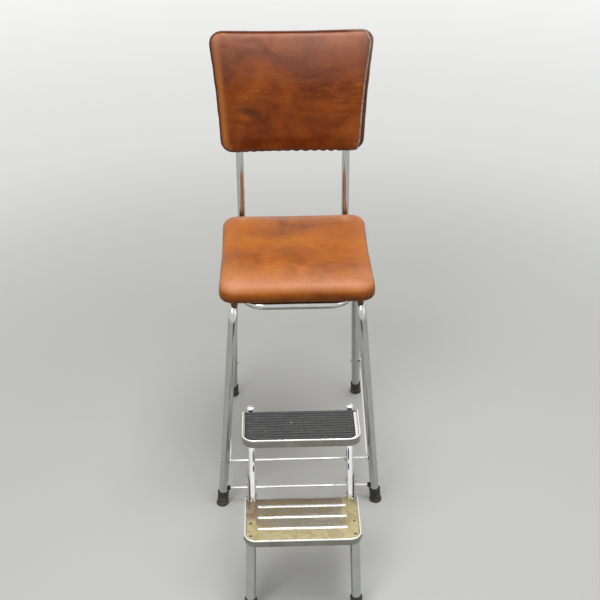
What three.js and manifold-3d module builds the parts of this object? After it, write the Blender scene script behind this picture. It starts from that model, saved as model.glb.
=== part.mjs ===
// A kitchen chair of bent chromed tube whose two-step unit turns out from under the seat.
// Millimetres, +Z up. The chair faces -Y, so a distance forward of the front feet is -Y.
import * as THREE from "three";
import { mergeVertices } from "three/addons/utils/BufferGeometryUtils.js";
import Module from "manifold-3d";

const wasm = await Module();
wasm.setup();

// Clearances
const touchGap = 0.3; // between faces that touch on the real chair
const turnGap = 0.5; // round a rod that something turns on
const drillGap = 0.4; // round a screw or rivet in its hole
const cutOverrun = 5; // how far a cutting body runs past what it cuts

// Facets
const tubeSegments = 6; // two sides of a round tube for each
const bendSteps = 4;
const pinSides = 8;
const ringSides = 16;

// Chair tubes
const legTube = { radius: 11.1, wall: 1.5 };
const backTube = { radius: 9.5, wall: 1.4 };
const legBendRadius = 40;

// Legs: half spacing across, and distance forward of the front feet
const frontFootHalf = 192.4;
const frontTopHalf = 146;
const frontTopForward = -40;
const rearFootHalf = 174.5;
const rearTopHalf = 153.5;
const rearTopForward = -325;
const rearFootForward = -453;

// Rubber leg tips
const chairTip = { height: 38, wall: 2.2, flare: 1.4, sole: 7 };
const stepTip = { height: 34, wall: 2.2, flare: 1.2, sole: 7 };

// Seat
const seatUnderside = 568;
const seatBoard = { thickness: 10, inset: 14 };
const seatCushion = {
  width: 359,
  rearNarrowing: 4,
  depth: 364,
  thickness: 42,
  crown: 11,
  cornerRadius: 36,
  drawIn: 2.5,
  lip: 2.2,
  edgeRoll: 13,
};
const seatForward = -210; // the middle of the seat

// Back frame
const backPostHalf = 131.5;
const runnerFrontHalf = 124;
const loopInset = 14; // behind the seat's front edge
const seatToPost = 2.5;
const backLeanDegrees = 5;
const backPostLength = 492;
const postBendRadius = 28;
const loopBendRadius = 52;

const runnerFrontForward = seatForward + seatCushion.depth / 2 - loopInset;
// where the post's line meets the runner's
const backPostForward = seatForward - seatCushion.depth / 2 - seatToPost - backTube.radius;

// Backrest, in the plane of the back posts, measured along them from the runner
const backBoard = { thickness: 8, inset: 13 };
const backCushion = {
  width: 383,
  lowerNarrowing: 36,
  depth: 293,
  thickness: 38,
  crown: 7,
  cornerRadius: 30,
  drawIn: 2.5,
  lip: 1.6,
  edgeRoll: 11,
};
const backrestRise = 370; // to the middle of the backrest

// Rods
const rodRadius = 3.175;
const upperRodHeight = 129;
const lowerRodHeight = 46;
const rodEndProud = 0.8; // past the legs' outer faces
const bush = { radius: 6.2, length: 5 };
const collar = { radius: 7, length: 4 };
const eye = { radius: 8, thickness: 3 };

// Treads: forward is the rear edge
const tread = {
  width: 257,
  wall: 1.3,
  rim: 4,
  rimHeight: 3,
  frontRadius: 26,
  rearRadius: 2.5,
};
const upperTreadPlace = { forward: 147, depth: 102, height: 402, apron: 20 };
const lowerTreadPlace = { forward: 206, depth: 137, height: 200, apron: 18 };
const mat = { base: 1.4, ribHeight: 1.4, ribWidth: 3.8, ribCount: 11, sideMargin: 5, frontMargin: 2 };
const bead = { radius: 3.6, proud: 2, length: 196 };
const beadDepthShares = [0.19, 0.44, 0.7]; // of the lower tread's depth, from its rear edge
const studHole = { radius: 2.1, sideMargin: 14, depthShares: [0.57, 0.86] };

// Step legs and posts
const stepLeg = { radius: 11.1, wall: 1.5, topHalf: 113.5, footHalf: 119, topForward: 320, footForward: 355 };
const stepPost = { radius: 8, wall: 1.3, half: 110, bendRadius: 30 };
const postFootDepth = 17; // below the lower tread's top
const postFootStraight = 10; // above the lower tread's top
const postHeadStraight = 32; // below the upper tread's top
const postHeadProud = 3; // above the upper tread's top
const postDome = { height: 5, lip: 0.4 };
const backPlug = { dome: 4, stem: 9 };

// Pivot arms
const arm = { thickness: 3, eyeRadius: 9, rise: 7, span: 48, overlap: 9, reach: 7 };
const armBoltShares = [0.1875, 0.75]; // of the arm's span, from its lower edge

// Fasteners: shank, head and tail
const screw = { radius: 2.4, head: 5, headHeight: 2.6 };
const rivet = { radius: 2.2, head: 4.4, headHeight: 1.8, tail: 3.4, tailHeight: 1.2 };
const bolt = { radius: 2.4, head: 4.6, headHeight: 3, tail: 4.2, tailHeight: 3 };
const screwBite = 7; // into a board
// of the seat's depth, forward of its middle
const seatScrewShares = { legs: [0.316, -0.165], runners: [0.2335, -0.33] };
const seatScrewForward = {
  legs: seatScrewShares.legs.map((share) => seatForward + seatCushion.depth * share),
  runners: seatScrewShares.runners.map((share) => seatForward + seatCushion.depth * share),
};
const backScrewRises = [300, 450];

// Finishes
const chrome = { color: 0xc9ccd0, roughness: 0.12, metalness: 1 };
const zinc = { color: 0xa9a9a6, roughness: 0.4, metalness: 1 };
const pressedSteel = { color: 0xc4c2ba, roughness: 0.45, metalness: 0.8 };
const vinyl = { color: 0xa4582c, roughness: 0.45, metalness: 0 };
const plywood = { color: 0xb48a5a, roughness: 0.8, metalness: 0 };
const rubber = { color: 0x1c1b1a, roughness: 0.8, metalness: 0 };

// Places and directions

function spot(x, forward, height) {
  return new THREE.Vector3(x, -forward, height);
}

const across = new THREE.Vector3(1, 0, 0);
const upward = new THREE.Vector3(0, 0, 1);
const rearward = new THREE.Vector3(0, 1, 0);

function between(start, end, share) {
  return start.clone().lerp(end, share);
}

function atHeight(start, end, height) {
  return between(start, end, (height - start.z) / (end.z - start.z));
}

// A path of straight runs with round bends, whose rings lie only where the path turns.
class BentPath extends THREE.Curve {
  constructor(corners, bendRadius) {
    super();
    this.rings = [];
    const last = corners.length - 1;
    const firstRun = corners[1].clone().sub(corners[0]).normalize();
    this.rings.push({ place: corners[0].clone(), heading: firstRun });
    for (let index = 1; index < last; index += 1) {
      this.addBend(corners[index - 1], corners[index], corners[index + 1], bendRadius(index));
    }
    const lastRun = corners[last].clone().sub(corners[last - 1]).normalize();
    this.rings.push({ place: corners[last].clone(), heading: lastRun });
  }

  addBend(before, corner, after, radius) {
    const incoming = corner.clone().sub(before).normalize();
    const outgoing = after.clone().sub(corner).normalize();
    const turn = incoming.angleTo(outgoing);
    const axis = incoming.clone().cross(outgoing).normalize();
    const setback = radius * Math.tan(turn / 2);
    const bendStart = corner.clone().addScaledVector(incoming, -setback);
    const inward = axis.clone().cross(incoming);
    const centre = bendStart.clone().addScaledVector(inward, radius);
    for (let step = 0; step <= bendSteps; step += 1) {
      const angle = (turn * step) / bendSteps;
      const arm = bendStart.clone().sub(centre).applyAxisAngle(axis, angle);
      this.rings.push({ place: centre.clone().add(arm), heading: incoming.clone().applyAxisAngle(axis, angle) });
    }
  }

  get steps() {
    return this.rings.length - 1;
  }

  ringAt(share) {
    return this.rings[Math.round(share * this.steps)];
  }

  getUtoTmapping(share) {
    return share;
  }

  getPoint(share) {
    return this.ringAt(share).place.clone();
  }

  getTangent(share) {
    return this.ringAt(share).heading.clone();
  }
}

// Solids and the library that joins and cuts them

function toSolid(geometry) {
  const bare = geometry.clone();
  bare.deleteAttribute("normal");
  bare.deleteAttribute("uv");
  const merged = mergeVertices(bare);
  const vertProperties = new Float32Array(merged.attributes.position.array);
  const triVerts = new Uint32Array(merged.index.array);
  return new wasm.Manifold(new wasm.Mesh({ numProp: 3, vertProperties, triVerts }));
}

function toGeometry(solid) {
  const mesh = solid.getMesh();
  const geometry = new THREE.BufferGeometry();
  geometry.setAttribute("position", new THREE.BufferAttribute(new Float32Array(mesh.vertProperties), 3));
  geometry.setIndex(new THREE.BufferAttribute(new Uint32Array(mesh.triVerts), 1));
  return geometry;
}

function cut(geometry, cutters) {
  let solid = toSolid(geometry);
  for (const cutter of cutters) {
    solid = solid.subtract(toSolid(cutter));
  }
  return toGeometry(solid);
}

function join(geometries) {
  let solid = toSolid(geometries[0]);
  for (const geometry of geometries.slice(1)) {
    solid = solid.add(toSolid(geometry));
  }
  return toGeometry(solid);
}

// A turned body whose profile runs along an axis from a start point
function turned(profile, start, direction, sides) {
  const outline = profile.map(([radius, along]) => new THREE.Vector2(radius, along));
  const geometry = new THREE.LatheGeometry(outline, sides);
  const turn = new THREE.Quaternion().setFromUnitVectors(new THREE.Vector3(0, 1, 0), direction.clone().normalize());
  geometry.applyQuaternion(turn);
  geometry.translate(start.x, start.y, start.z);
  return geometry;
}

function rodBetween(start, end, radius, sides = pinSides) {
  const length = start.distanceTo(end);
  const profile = [[0, 0], [radius, 0], [radius, length], [0, length]];
  return turned(profile, start, end.clone().sub(start), sides);
}

function ringBetween(start, end, radius, bore, sides = ringSides) {
  const length = start.distanceTo(end);
  const profile = [[bore, 0], [radius, 0], [radius, length], [bore, length], [bore, 0]];
  return turned(profile, start, end.clone().sub(start), sides);
}

// A drill's flat sides touch the round hole that it stands for from outside
function drill(centre, direction, reach, radius) {
  const half = direction.clone().normalize().multiplyScalar(reach);
  const cornerRadius = radius / Math.cos(Math.PI / pinSides);
  return rodBetween(centre.clone().sub(half), centre.clone().add(half), cornerRadius);
}

function tube(path, { radius, wall }) {
  const section = new THREE.Shape();
  section.absarc(0, 0, radius, 0, 2 * Math.PI, false);
  const bore = new THREE.Path();
  bore.absarc(0, 0, radius - wall, 0, 2 * Math.PI, true);
  section.holes.push(bore);
  return new THREE.ExtrudeGeometry(section, {
    steps: path.steps,
    curveSegments: tubeSegments,
    extrudePath: path,
    bevelEnabled: false,
  });
}

// A fastener with a domed head at its start and a tail at its end
function fastener(start, direction, shank, kind) {
  const { radius, head, headHeight } = kind;
  const tail = kind.tail ?? radius;
  const tailHeight = kind.tailHeight ?? 0;
  const shoulder = headHeight / 3;
  const profile = [
    [0, -headHeight],
    [head / 2, -headHeight],
    [head, -shoulder],
    [head, 0],
    [radius, 0],
    [radius, shank],
  ];
  if (tailHeight > 0) {
    profile.push([tail, shank], [tail, shank + tailHeight]);
  }
  profile.push([0, shank + tailHeight]);
  return turned(profile, start, direction, pinSides);
}

// A plate of any outline, given as (forward, height) points, across the chair
function sidePlate(outline, x, thickness) {
  const shape = new THREE.Shape(outline);
  const geometry = new THREE.ExtrudeGeometry(shape, { depth: thickness, bevelEnabled: false });
  // The shape's axes become forward and height, and its depth runs along X.
  const frame = new THREE.Matrix4().makeBasis(rearward.clone().negate(), upward, across.clone().negate());
  geometry.applyMatrix4(frame);
  geometry.translate(x + thickness, 0, 0);
  return geometry;
}

// The scene graph
const chair = new THREE.Group();
chair.name = "folding_step_stool_chair";

function addPart(name, geometry, finish) {
  geometry.deleteAttribute("uv");
  geometry.computeVertexNormals();
  const mesh = new THREE.Mesh(geometry, new THREE.MeshStandardMaterial(finish));
  mesh.name = name;
  chair.add(mesh);
  return mesh;
}

const sides = [["left", -1], ["right", 1]];

// Lines of the leg tubes
const legRunHeight = seatUnderside - touchGap - legTube.radius;
const runnerHeight = seatUnderside - touchGap - backTube.radius;

function legCorners(side) {
  return {
    frontFoot: spot(side * frontFootHalf, 0, 0),
    frontTop: spot(side * frontTopHalf, frontTopForward, legRunHeight),
    rearTop: spot(side * rearTopHalf, rearTopForward, legRunHeight),
    rearFoot: spot(side * rearFootHalf, rearFootForward, 0),
  };
}

function frontLegAt(side, height) {
  const { frontFoot, frontTop } = legCorners(side);
  return atHeight(frontFoot, frontTop, height);
}

function rearLegAt(side, height) {
  const { rearFoot, rearTop } = legCorners(side);
  return atHeight(rearFoot, rearTop, height);
}

function legRunAt(side, forward) {
  const { frontTop, rearTop } = legCorners(side);
  return between(frontTop, rearTop, (forward - frontTopForward) / (rearTopForward - frontTopForward));
}

// The rods pass through the middle of the front legs
const upperRodForward = -frontLegAt(1, upperRodHeight).y;
const lowerRodForward = -frontLegAt(1, lowerRodHeight).y;
const upperRodHole = (side) => frontLegAt(side, upperRodHeight);
const lowerRodHole = (side) => frontLegAt(side, lowerRodHeight);

// How far the legs' surface lies from their middle along X, with room for the splay over an eye
const legSplay = (frontFootHalf - frontTopHalf) / legRunHeight;
const legFaceReach = legTube.radius * Math.hypot(1, legSplay) + eye.radius * legSplay + touchGap;

// A rubber tip on the end of a tube, cut flat where it meets the floor
function rubberTip(foot, above, tubeRadius, tip) {
  const axis = above.clone().sub(foot).normalize();
  const drop = tip.sole;
  const bore = tubeRadius + touchGap;
  const outer = bore + tip.wall;
  const profile = [
    [0, -drop],
    [outer + tip.flare, -drop],
    [outer + tip.flare, drop],
    [outer, drop * 2],
    [outer, tip.height],
    [bore, tip.height],
    [bore, tip.sole],
    [0, tip.sole],
  ];
  const body = turned(profile, foot, axis, ringSides);
  const span = 4 * outer;
  const floor = new THREE.BoxGeometry(span, span, span);
  floor.translate(foot.x, foot.y, -span / 2);
  return cut(body, [floor]);
}

function tubeEnd(foot, above, tip) {
  const axis = above.clone().sub(foot).normalize();
  return foot.clone().addScaledVector(axis, tip.sole + touchGap);
}

function buildLegs() {
  for (const [name, side] of sides) {
    const { frontFoot, frontTop, rearTop, rearFoot } = legCorners(side);
    const corners = [
      tubeEnd(frontFoot, frontTop, chairTip),
      frontTop,
      rearTop,
      tubeEnd(rearFoot, rearTop, chairTip),
    ];
    const legs = tube(new BentPath(corners, () => legBendRadius), legTube);
    const reach = legTube.radius + cutOverrun;
    const rodHole = rodRadius + drillGap;
    const holes = [
      drill(upperRodHole(side), across, reach, rodHole),
      drill(lowerRodHole(side), across, reach, rodHole),
      drill(rearLegAt(side, upperRodHeight), across, reach, bolt.radius + drillGap),
    ];
    for (const forward of seatScrewForward.legs) {
      holes.push(drill(legRunAt(side, forward), upward, reach, screw.radius + drillGap));
    }
    addPart(`side_frame_${name}`, cut(legs, holes), chrome);
    addPart(`foot_front_${name}`, rubberTip(frontFoot, frontTop, legTube.radius, chairTip), rubber);
    addPart(`foot_rear_${name}`, rubberTip(rearFoot, rearTop, legTube.radius, chairTip), rubber);
  }
}

// The back posts lean back in planes of their own
const backLean = THREE.MathUtils.degToRad(backLeanDegrees);
const alongBack = new THREE.Vector3(0, Math.sin(backLean), Math.cos(backLean));
const outOfBack = new THREE.Vector3(0, -Math.cos(backLean), Math.sin(backLean));

function backPostAt(side, rise) {
  return spot(side * backPostHalf, backPostForward, runnerHeight).addScaledVector(alongBack, rise);
}

function runnerAt(side, forward) {
  const share = (forward - runnerFrontForward) / (backPostForward - runnerFrontForward);
  const half = runnerFrontHalf + (backPostHalf - runnerFrontHalf) * share;
  return spot(side * half, forward, runnerHeight);
}

function buildBackFrame() {
  const corners = [
    backPostAt(-1, backPostLength),
    backPostAt(-1, 0),
    runnerAt(-1, runnerFrontForward),
    runnerAt(1, runnerFrontForward),
    backPostAt(1, 0),
    backPostAt(1, backPostLength),
  ];
  const bends = { 1: postBendRadius, 2: loopBendRadius, 3: loopBendRadius, 4: postBendRadius };
  const frame = tube(new BentPath(corners, (index) => bends[index]), backTube);
  const reach = backTube.radius + cutOverrun;
  const hole = screw.radius + drillGap;
  const holes = [];
  const plugBore = backTube.radius - backTube.wall - touchGap;
  for (const [name, side] of sides) {
    for (const forward of seatScrewForward.runners) {
      holes.push(drill(runnerAt(side, forward), upward, reach, hole));
    }
    for (const rise of backScrewRises) {
      holes.push(drill(backPostAt(side, rise), outOfBack, reach, hole));
    }
    const plugProfile = [
      [0, -backPlug.stem],
      [plugBore, -backPlug.stem],
      [plugBore, touchGap],
      [backTube.radius, touchGap],
      [backTube.radius / 2, backPlug.dome],
      [0, backPlug.dome],
    ];
    const plug = turned(plugProfile, backPostAt(side, backPostLength), alongBack, ringSides);
    addPart(`back_post_plug_${name}`, plug, rubber);
  }
  addPart("back_frame", cut(frame, holes), chrome);
}

// A cushion in its own plane: x across, y along, z out of the board that it is upholstered on

function cushionHalf(cushion, along) {
  const narrowing = cushion.rearNarrowing ?? cushion.lowerNarrowing;
  const toNarrowEnd = cushion.rearNarrowing ? 0.5 + along / cushion.depth : 0.5 - along / cushion.depth;
  return (cushion.width - narrowing * toNarrowEnd) / 2;
}

const cornerSteps = 5;
const straightSteps = 6;

function cushionOutline(cushion, offset, scale) {
  const halfDepth = cushion.depth / 2;
  const radius = cushion.cornerRadius;
  const quarters = [[1, 1], [-1, 1], [-1, -1], [1, -1]];
  const corners = quarters.map(([signX, signY], quarter) => {
    const y = signY * (halfDepth - radius);
    const x = signX * (cushionHalf(cushion, signY * halfDepth) - radius);
    return { x, y, from: (quarter * Math.PI) / 2 };
  });
  const points = [];
  corners.forEach((corner, index) => {
    const arc = [];
    for (let step = 0; step <= cornerSteps; step += 1) {
      const angle = corner.from + ((Math.PI / 2) * step) / cornerSteps;
      const reach = radius + offset;
      arc.push([corner.x + reach * Math.cos(angle), corner.y + reach * Math.sin(angle)]);
    }
    points.push(...arc);
    const next = corners[(index + 1) % corners.length];
    const outward = corner.from + Math.PI / 2;
    const end = [next.x + (radius + offset) * Math.cos(outward), next.y + (radius + offset) * Math.sin(outward)];
    const start = arc[arc.length - 1];
    for (let step = 1; step < straightSteps; step += 1) {
      const share = step / straightSteps;
      const pull = cushion.drawIn * Math.sin(Math.PI * share);
      const x = start[0] + (end[0] - start[0]) * share - pull * Math.cos(outward);
      const y = start[1] + (end[1] - start[1]) * share - pull * Math.sin(outward);
      points.push([x, y]);
    }
  });
  return points.map(([x, y]) => [x * scale, y * scale]);
}

function cushionGeometry(cushion, board) {
  const recess = touchGap - board.inset;
  const ceiling = board.thickness + touchGap;
  const top = board.thickness + cushion.thickness - cushion.crown;
  const roll = cushion.edgeRoll;
  const belly = (cushion.lip + roll + top) / 2;
  const rings = [
    { offset: recess, height: ceiling },
    { offset: recess, height: cushion.lip },
    { offset: -roll * 0.75, height: cushion.lip },
  ];
  const rollSteps = 3;
  for (let step = 1; step <= rollSteps; step += 1) {
    const angle = ((Math.PI / 2) * step) / rollSteps;
    const inward = roll * 0.75 * (1 - Math.sin(angle));
    rings.push({ offset: -inward, height: cushion.lip + roll * (1 - Math.cos(angle)) });
  }
  rings.push({ offset: cushion.lip / 2, height: belly });
  for (let step = 0; step <= rollSteps; step += 1) {
    const angle = ((Math.PI / 2) * step) / rollSteps;
    rings.push({ offset: -roll * (1 - Math.cos(angle)), height: top - roll * (1 - Math.sin(angle)) });
  }
  const crownShares = [0.93, 0.76, 0.54, 0.28];
  for (const share of crownShares) {
    rings.push({ offset: -roll, height: top + cushion.crown * (1 - share * share), scale: share });
  }
  const positions = [];
  const index = [];
  positions.push(0, 0, ceiling);
  let count = 0;
  for (const ring of rings) {
    const points = cushionOutline(cushion, ring.offset, ring.scale ?? 1);
    count = points.length;
    for (const [x, y] of points) {
      positions.push(x, y, ring.height);
    }
  }
  positions.push(0, 0, top + cushion.crown);
  const lastVertex = rings.length * count + 1;
  for (let side = 0; side < count; side += 1) {
    const next = (side + 1) % count;
    index.push(0, 1 + next, 1 + side);
    for (let ring = 0; ring < rings.length - 1; ring += 1) {
      const low = 1 + ring * count;
      const high = low + count;
      index.push(low + side, low + next, high + next, low + side, high + next, high + side);
    }
    const rim = 1 + (rings.length - 1) * count;
    index.push(rim + side, rim + next, lastVertex);
  }
  const geometry = new THREE.BufferGeometry();
  geometry.setAttribute("position", new THREE.Float32BufferAttribute(positions, 3));
  geometry.setIndex(index);
  return geometry;
}

function boardGeometry(cushion, board) {
  const shape = new THREE.Shape(
    cushionOutline(cushion, -board.inset, 1).map(([x, y]) => new THREE.Vector2(x, y)),
  );
  return new THREE.ExtrudeGeometry(shape, { depth: board.thickness, bevelEnabled: false });
}

// Seat: the cushion's own Y points to the rear
const seatPlace = new THREE.Matrix4().makeTranslation(0, -seatForward, seatUnderside);

function seatScrewPlaces() {
  const rows = ["front", "rear"];
  const places = [];
  for (const [name, side] of sides) {
    rows.forEach((row, index) => {
      const onLeg = legRunAt(side, seatScrewForward.legs[index]);
      places.push({ name: `leg_${row}_${name}`, middle: onLeg, radius: legTube.radius });
      const onRunner = runnerAt(side, seatScrewForward.runners[index]);
      places.push({ name: `runner_${row}_${name}`, middle: onRunner, radius: backTube.radius });
    });
  }
  return places;
}

function buildSeat() {
  const board = boardGeometry(seatCushion, seatBoard).applyMatrix4(seatPlace);
  const pilots = [];
  for (const { name, middle, radius } of seatScrewPlaces()) {
    const entry = middle.clone();
    entry.z = seatUnderside;
    pilots.push(drill(entry, upward, screwBite + drillGap, screw.radius + drillGap));
    const headSeat = middle.clone();
    headSeat.z -= radius + touchGap;
    const shank = entry.z + screwBite - headSeat.z;
    addPart(`seat_screw_${name}`, fastener(headSeat, upward, shank, screw), zinc);
  }
  addPart("seat_board", cut(board, pilots), plywood);
  addPart("seat_pad", cushionGeometry(seatCushion, seatBoard).applyMatrix4(seatPlace), vinyl);
}

// Backrest: the cushion's own Y runs up the posts and its Z points to the front
function backrestMatrix() {
  const boardGap = backTube.radius + touchGap;
  const middle = spot(0, backPostForward, runnerHeight).addScaledVector(alongBack, backrestRise);
  middle.addScaledVector(outOfBack, boardGap);
  const basis = new THREE.Matrix4().makeBasis(across, alongBack, outOfBack);
  return basis.setPosition(middle);
}

function buildBackrest() {
  const place = backrestMatrix();
  const board = boardGeometry(backCushion, backBoard).applyMatrix4(place);
  const rows = ["lower", "upper"];
  const pilots = [];
  for (const [name, side] of sides) {
    backScrewRises.forEach((rise, index) => {
      const middle = backPostAt(side, rise);
      const reach = backTube.radius + touchGap;
      const boardFace = middle.clone().addScaledVector(outOfBack, reach);
      const bite = screwBite - touchGap * 2;
      pilots.push(drill(boardFace, outOfBack, bite + drillGap, screw.radius + drillGap));
      const headSeat = middle.clone().addScaledVector(outOfBack, -reach);
      const shape = fastener(headSeat, outOfBack, 2 * reach + bite, screw);
      addPart(`back_screw_${rows[index]}_${name}`, shape, zinc);
    });
  }
  addPart("back_board", cut(board, pilots), plywood);
  addPart("back_pad", cushionGeometry(backCushion, backBoard).applyMatrix4(place), vinyl);
}

// Rods across the front legs, and the stays to the rear legs

function buildRods() {
  const seats = { upper: upperRodHole, lower: lowerRodHole };
  const reach = legTube.radius * Math.hypot(1, legSplay) + rodEndProud;
  for (const [level, holeOf] of Object.entries(seats)) {
    const ends = sides.map(([, side]) => holeOf(side).addScaledVector(across, side * reach));
    addPart(`${level}_cross_rod`, rodBetween(ends[0], ends[1], rodRadius, ringSides), chrome);
  }
  for (const [name, side] of sides) {
    const outer = lowerRodHole(side).addScaledVector(across, -side * legFaceReach);
    const inner = outer.clone().addScaledVector(across, -side * bush.length);
    const ring = ringBetween(outer, inner, bush.radius, rodRadius + touchGap);
    addPart(`lower_rod_bush_${name}`, ring, rubber);
  }
}

function buildSideRods() {
  for (const [name, side] of sides) {
    const frontEyeOuter = upperRodHole(side).addScaledVector(across, -side * legFaceReach);
    const frontEyeInner = frontEyeOuter.clone().addScaledVector(across, -side * eye.thickness);
    const rearHole = rearLegAt(side, upperRodHeight);
    const rearEyeInner = rearHole.clone().addScaledVector(across, side * legFaceReach);
    const rearEyeOuter = rearEyeInner.clone().addScaledVector(across, side * eye.thickness);
    const frontMiddle = between(frontEyeOuter, frontEyeInner, 0.5);
    const rearMiddle = between(rearEyeOuter, rearEyeInner, 0.5);
    const run = rearMiddle.clone().sub(frontMiddle).normalize();
    const setIn = eye.radius * 0.85;
    const bar = rodBetween(
      frontMiddle.clone().addScaledVector(run, setIn),
      rearMiddle.clone().addScaledVector(run, -setIn),
      rodRadius,
    );
    const rod = join([
      rodBetween(frontEyeOuter, frontEyeInner, eye.radius, ringSides),
      rodBetween(rearEyeInner, rearEyeOuter, eye.radius, ringSides),
      bar,
    ]);
    const holes = [
      drill(frontMiddle, across, eye.thickness + cutOverrun, rodRadius + turnGap),
      drill(rearMiddle, across, eye.thickness + cutOverrun, bolt.radius + drillGap),
    ];
    addPart(`side_rod_${name}`, cut(rod, holes), chrome);
    const headSeat = rearEyeOuter.clone().addScaledVector(across, side * touchGap);
    const inward = across.clone().multiplyScalar(-side);
    const grip = eye.thickness + 2 * legFaceReach + touchGap;
    addPart(`side_rod_bolt_${name}`, fastener(headSeat, inward, grip, bolt), zinc);
  }
}

// Treads

function treadOutline(place, inset, rearInset) {
  const half = tread.width / 2 - inset;
  const rear = place.forward + rearInset;
  const front = place.forward + place.depth - inset;
  const frontRadius = tread.frontRadius - inset;
  const rearRadius = tread.rearRadius;
  const shape = new THREE.Shape();
  shape.moveTo(half - rearRadius, rear);
  shape.absarc(half - rearRadius, rear + rearRadius, rearRadius, -Math.PI / 2, 0, false);
  shape.absarc(half - frontRadius, front - frontRadius, frontRadius, 0, Math.PI / 2, false);
  shape.absarc(frontRadius - half, front - frontRadius, frontRadius, Math.PI / 2, Math.PI, false);
  shape.absarc(rearRadius - half, rear + rearRadius, rearRadius, Math.PI, (3 * Math.PI) / 2, false);
  shape.closePath();
  return shape;
}

// A slab whose outline is given in (x, forward), between two heights
function slab(shape, low, high) {
  const geometry = new THREE.ExtrudeGeometry(shape, { depth: high - low, bevelEnabled: false, curveSegments: 6 });
  // Forward is -Y, so the slab is turned over about X and hung from its top.
  geometry.rotateX(Math.PI);
  geometry.translate(0, 0, high);
  return geometry;
}

function deckHeight(place) {
  return place.height - tread.rimHeight;
}

function treadPan(place, ridges) {
  const deck = deckHeight(place);
  const bottom = place.height - place.apron;
  const hollow = slab(treadOutline(place, tread.wall, tread.wall), bottom - cutOverrun, deck - tread.wall);
  const tray = slab(treadOutline(place, tread.rim, -cutOverrun), deck, place.height + cutOverrun);
  const tub = cut(slab(treadOutline(place, 0, 0), bottom, place.height), [tray]);
  return cut(join([tub, ...ridges]), [hollow]);
}

// Step posts: straight against both rear aprons, slanted between them
const postHead = upperTreadPlace.forward - touchGap - stepPost.radius;
const postFoot = lowerTreadPlace.forward + tread.wall + touchGap + stepPost.radius;
const postHeadLow = upperTreadPlace.height - postHeadStraight;
const postFootHigh = lowerTreadPlace.height + postFootStraight;
const upperRivetHeight = upperTreadPlace.height - upperTreadPlace.apron / 2;
const lowerRivetHeight = lowerTreadPlace.height - lowerTreadPlace.apron / 2 - tread.wall;

function postCorners(side) {
  const x = side * stepPost.half;
  return [
    spot(x, postFoot, lowerTreadPlace.height - postFootDepth),
    spot(x, postFoot, postFootHigh),
    spot(x, postHead, postHeadLow),
    spot(x, postHead, upperTreadPlace.height + postHeadProud),
  ];
}

function postAt(side, height) {
  const corners = postCorners(side);
  return atHeight(corners[1], corners[2], height);
}

// The arms take hold of the posts just above the lower tread
const armLow = lowerTreadPlace.height + arm.rise;
const armHigh = armLow + arm.span;
const armBoltHeights = armBoltShares.map((share) => armLow + arm.span * share);

function stepLegEnds(side) {
  const top = spot(side * stepLeg.topHalf, stepLeg.topForward, deckHeight(lowerTreadPlace));
  const foot = spot(side * stepLeg.footHalf, stepLeg.footForward, 0);
  return { top, foot };
}

function stepLegAt(side, height) {
  const { top, foot } = stepLegEnds(side);
  return atHeight(foot, top, height);
}

function buildUpperTread() {
  const rivetHole = rivet.radius + drillGap;
  const holes = [];
  for (const [name, side] of sides) {
    const x = side * stepPost.half;
    const apron = spot(x, upperTreadPlace.forward, upperRivetHeight);
    holes.push(drill(apron, rearward, cutOverrun, rivetHole));
    const headSeat = spot(x, postHead - stepPost.radius - touchGap, upperRivetHeight);
    const grip = 2 * stepPost.radius + tread.wall + 3 * touchGap;
    const shape = fastener(headSeat, rearward.clone().negate(), grip, rivet);
    addPart(`upper_tread_rivet_${name}`, shape, zinc);
  }
  addPart("upper_tread", cut(treadPan(upperTreadPlace, []), holes), pressedSteel);
}

function buildMat() {
  const halfWidth = tread.width / 2 - tread.rim - mat.sideMargin;
  const rear = upperTreadPlace.forward + touchGap;
  const front = upperTreadPlace.forward + upperTreadPlace.depth - tread.rim - mat.frontMargin;
  const low = deckHeight(upperTreadPlace) + touchGap;
  const pitch = (front - rear) / mat.ribCount;
  const top = low + mat.base;
  const slope = (pitch - mat.ribWidth) / 4;
  const outline = [new THREE.Vector2(rear, low), new THREE.Vector2(front, low)];
  for (let rib = mat.ribCount - 1; rib >= 0; rib -= 1) {
    const middle = rear + (rib + 0.5) * pitch;
    const half = mat.ribWidth / 2;
    const foot = half + slope;
    outline.push(new THREE.Vector2(rib === mat.ribCount - 1 ? front : middle + foot, top));
    outline.push(new THREE.Vector2(middle + half, top + mat.ribHeight));
    outline.push(new THREE.Vector2(middle - half, top + mat.ribHeight));
    outline.push(new THREE.Vector2(rib === 0 ? rear : middle - foot, top));
  }
  const ribbed = sidePlate(outline, -halfWidth, 2 * halfWidth);
  const inset = tread.rim + mat.frontMargin;
  const rounded = slab(
    treadOutline(upperTreadPlace, inset, -cutOverrun),
    low - cutOverrun,
    top + mat.ribHeight + cutOverrun,
  );
  addPart("upper_mat", toGeometry(toSolid(ribbed).intersect(toSolid(rounded))), rubber);
}

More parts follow.
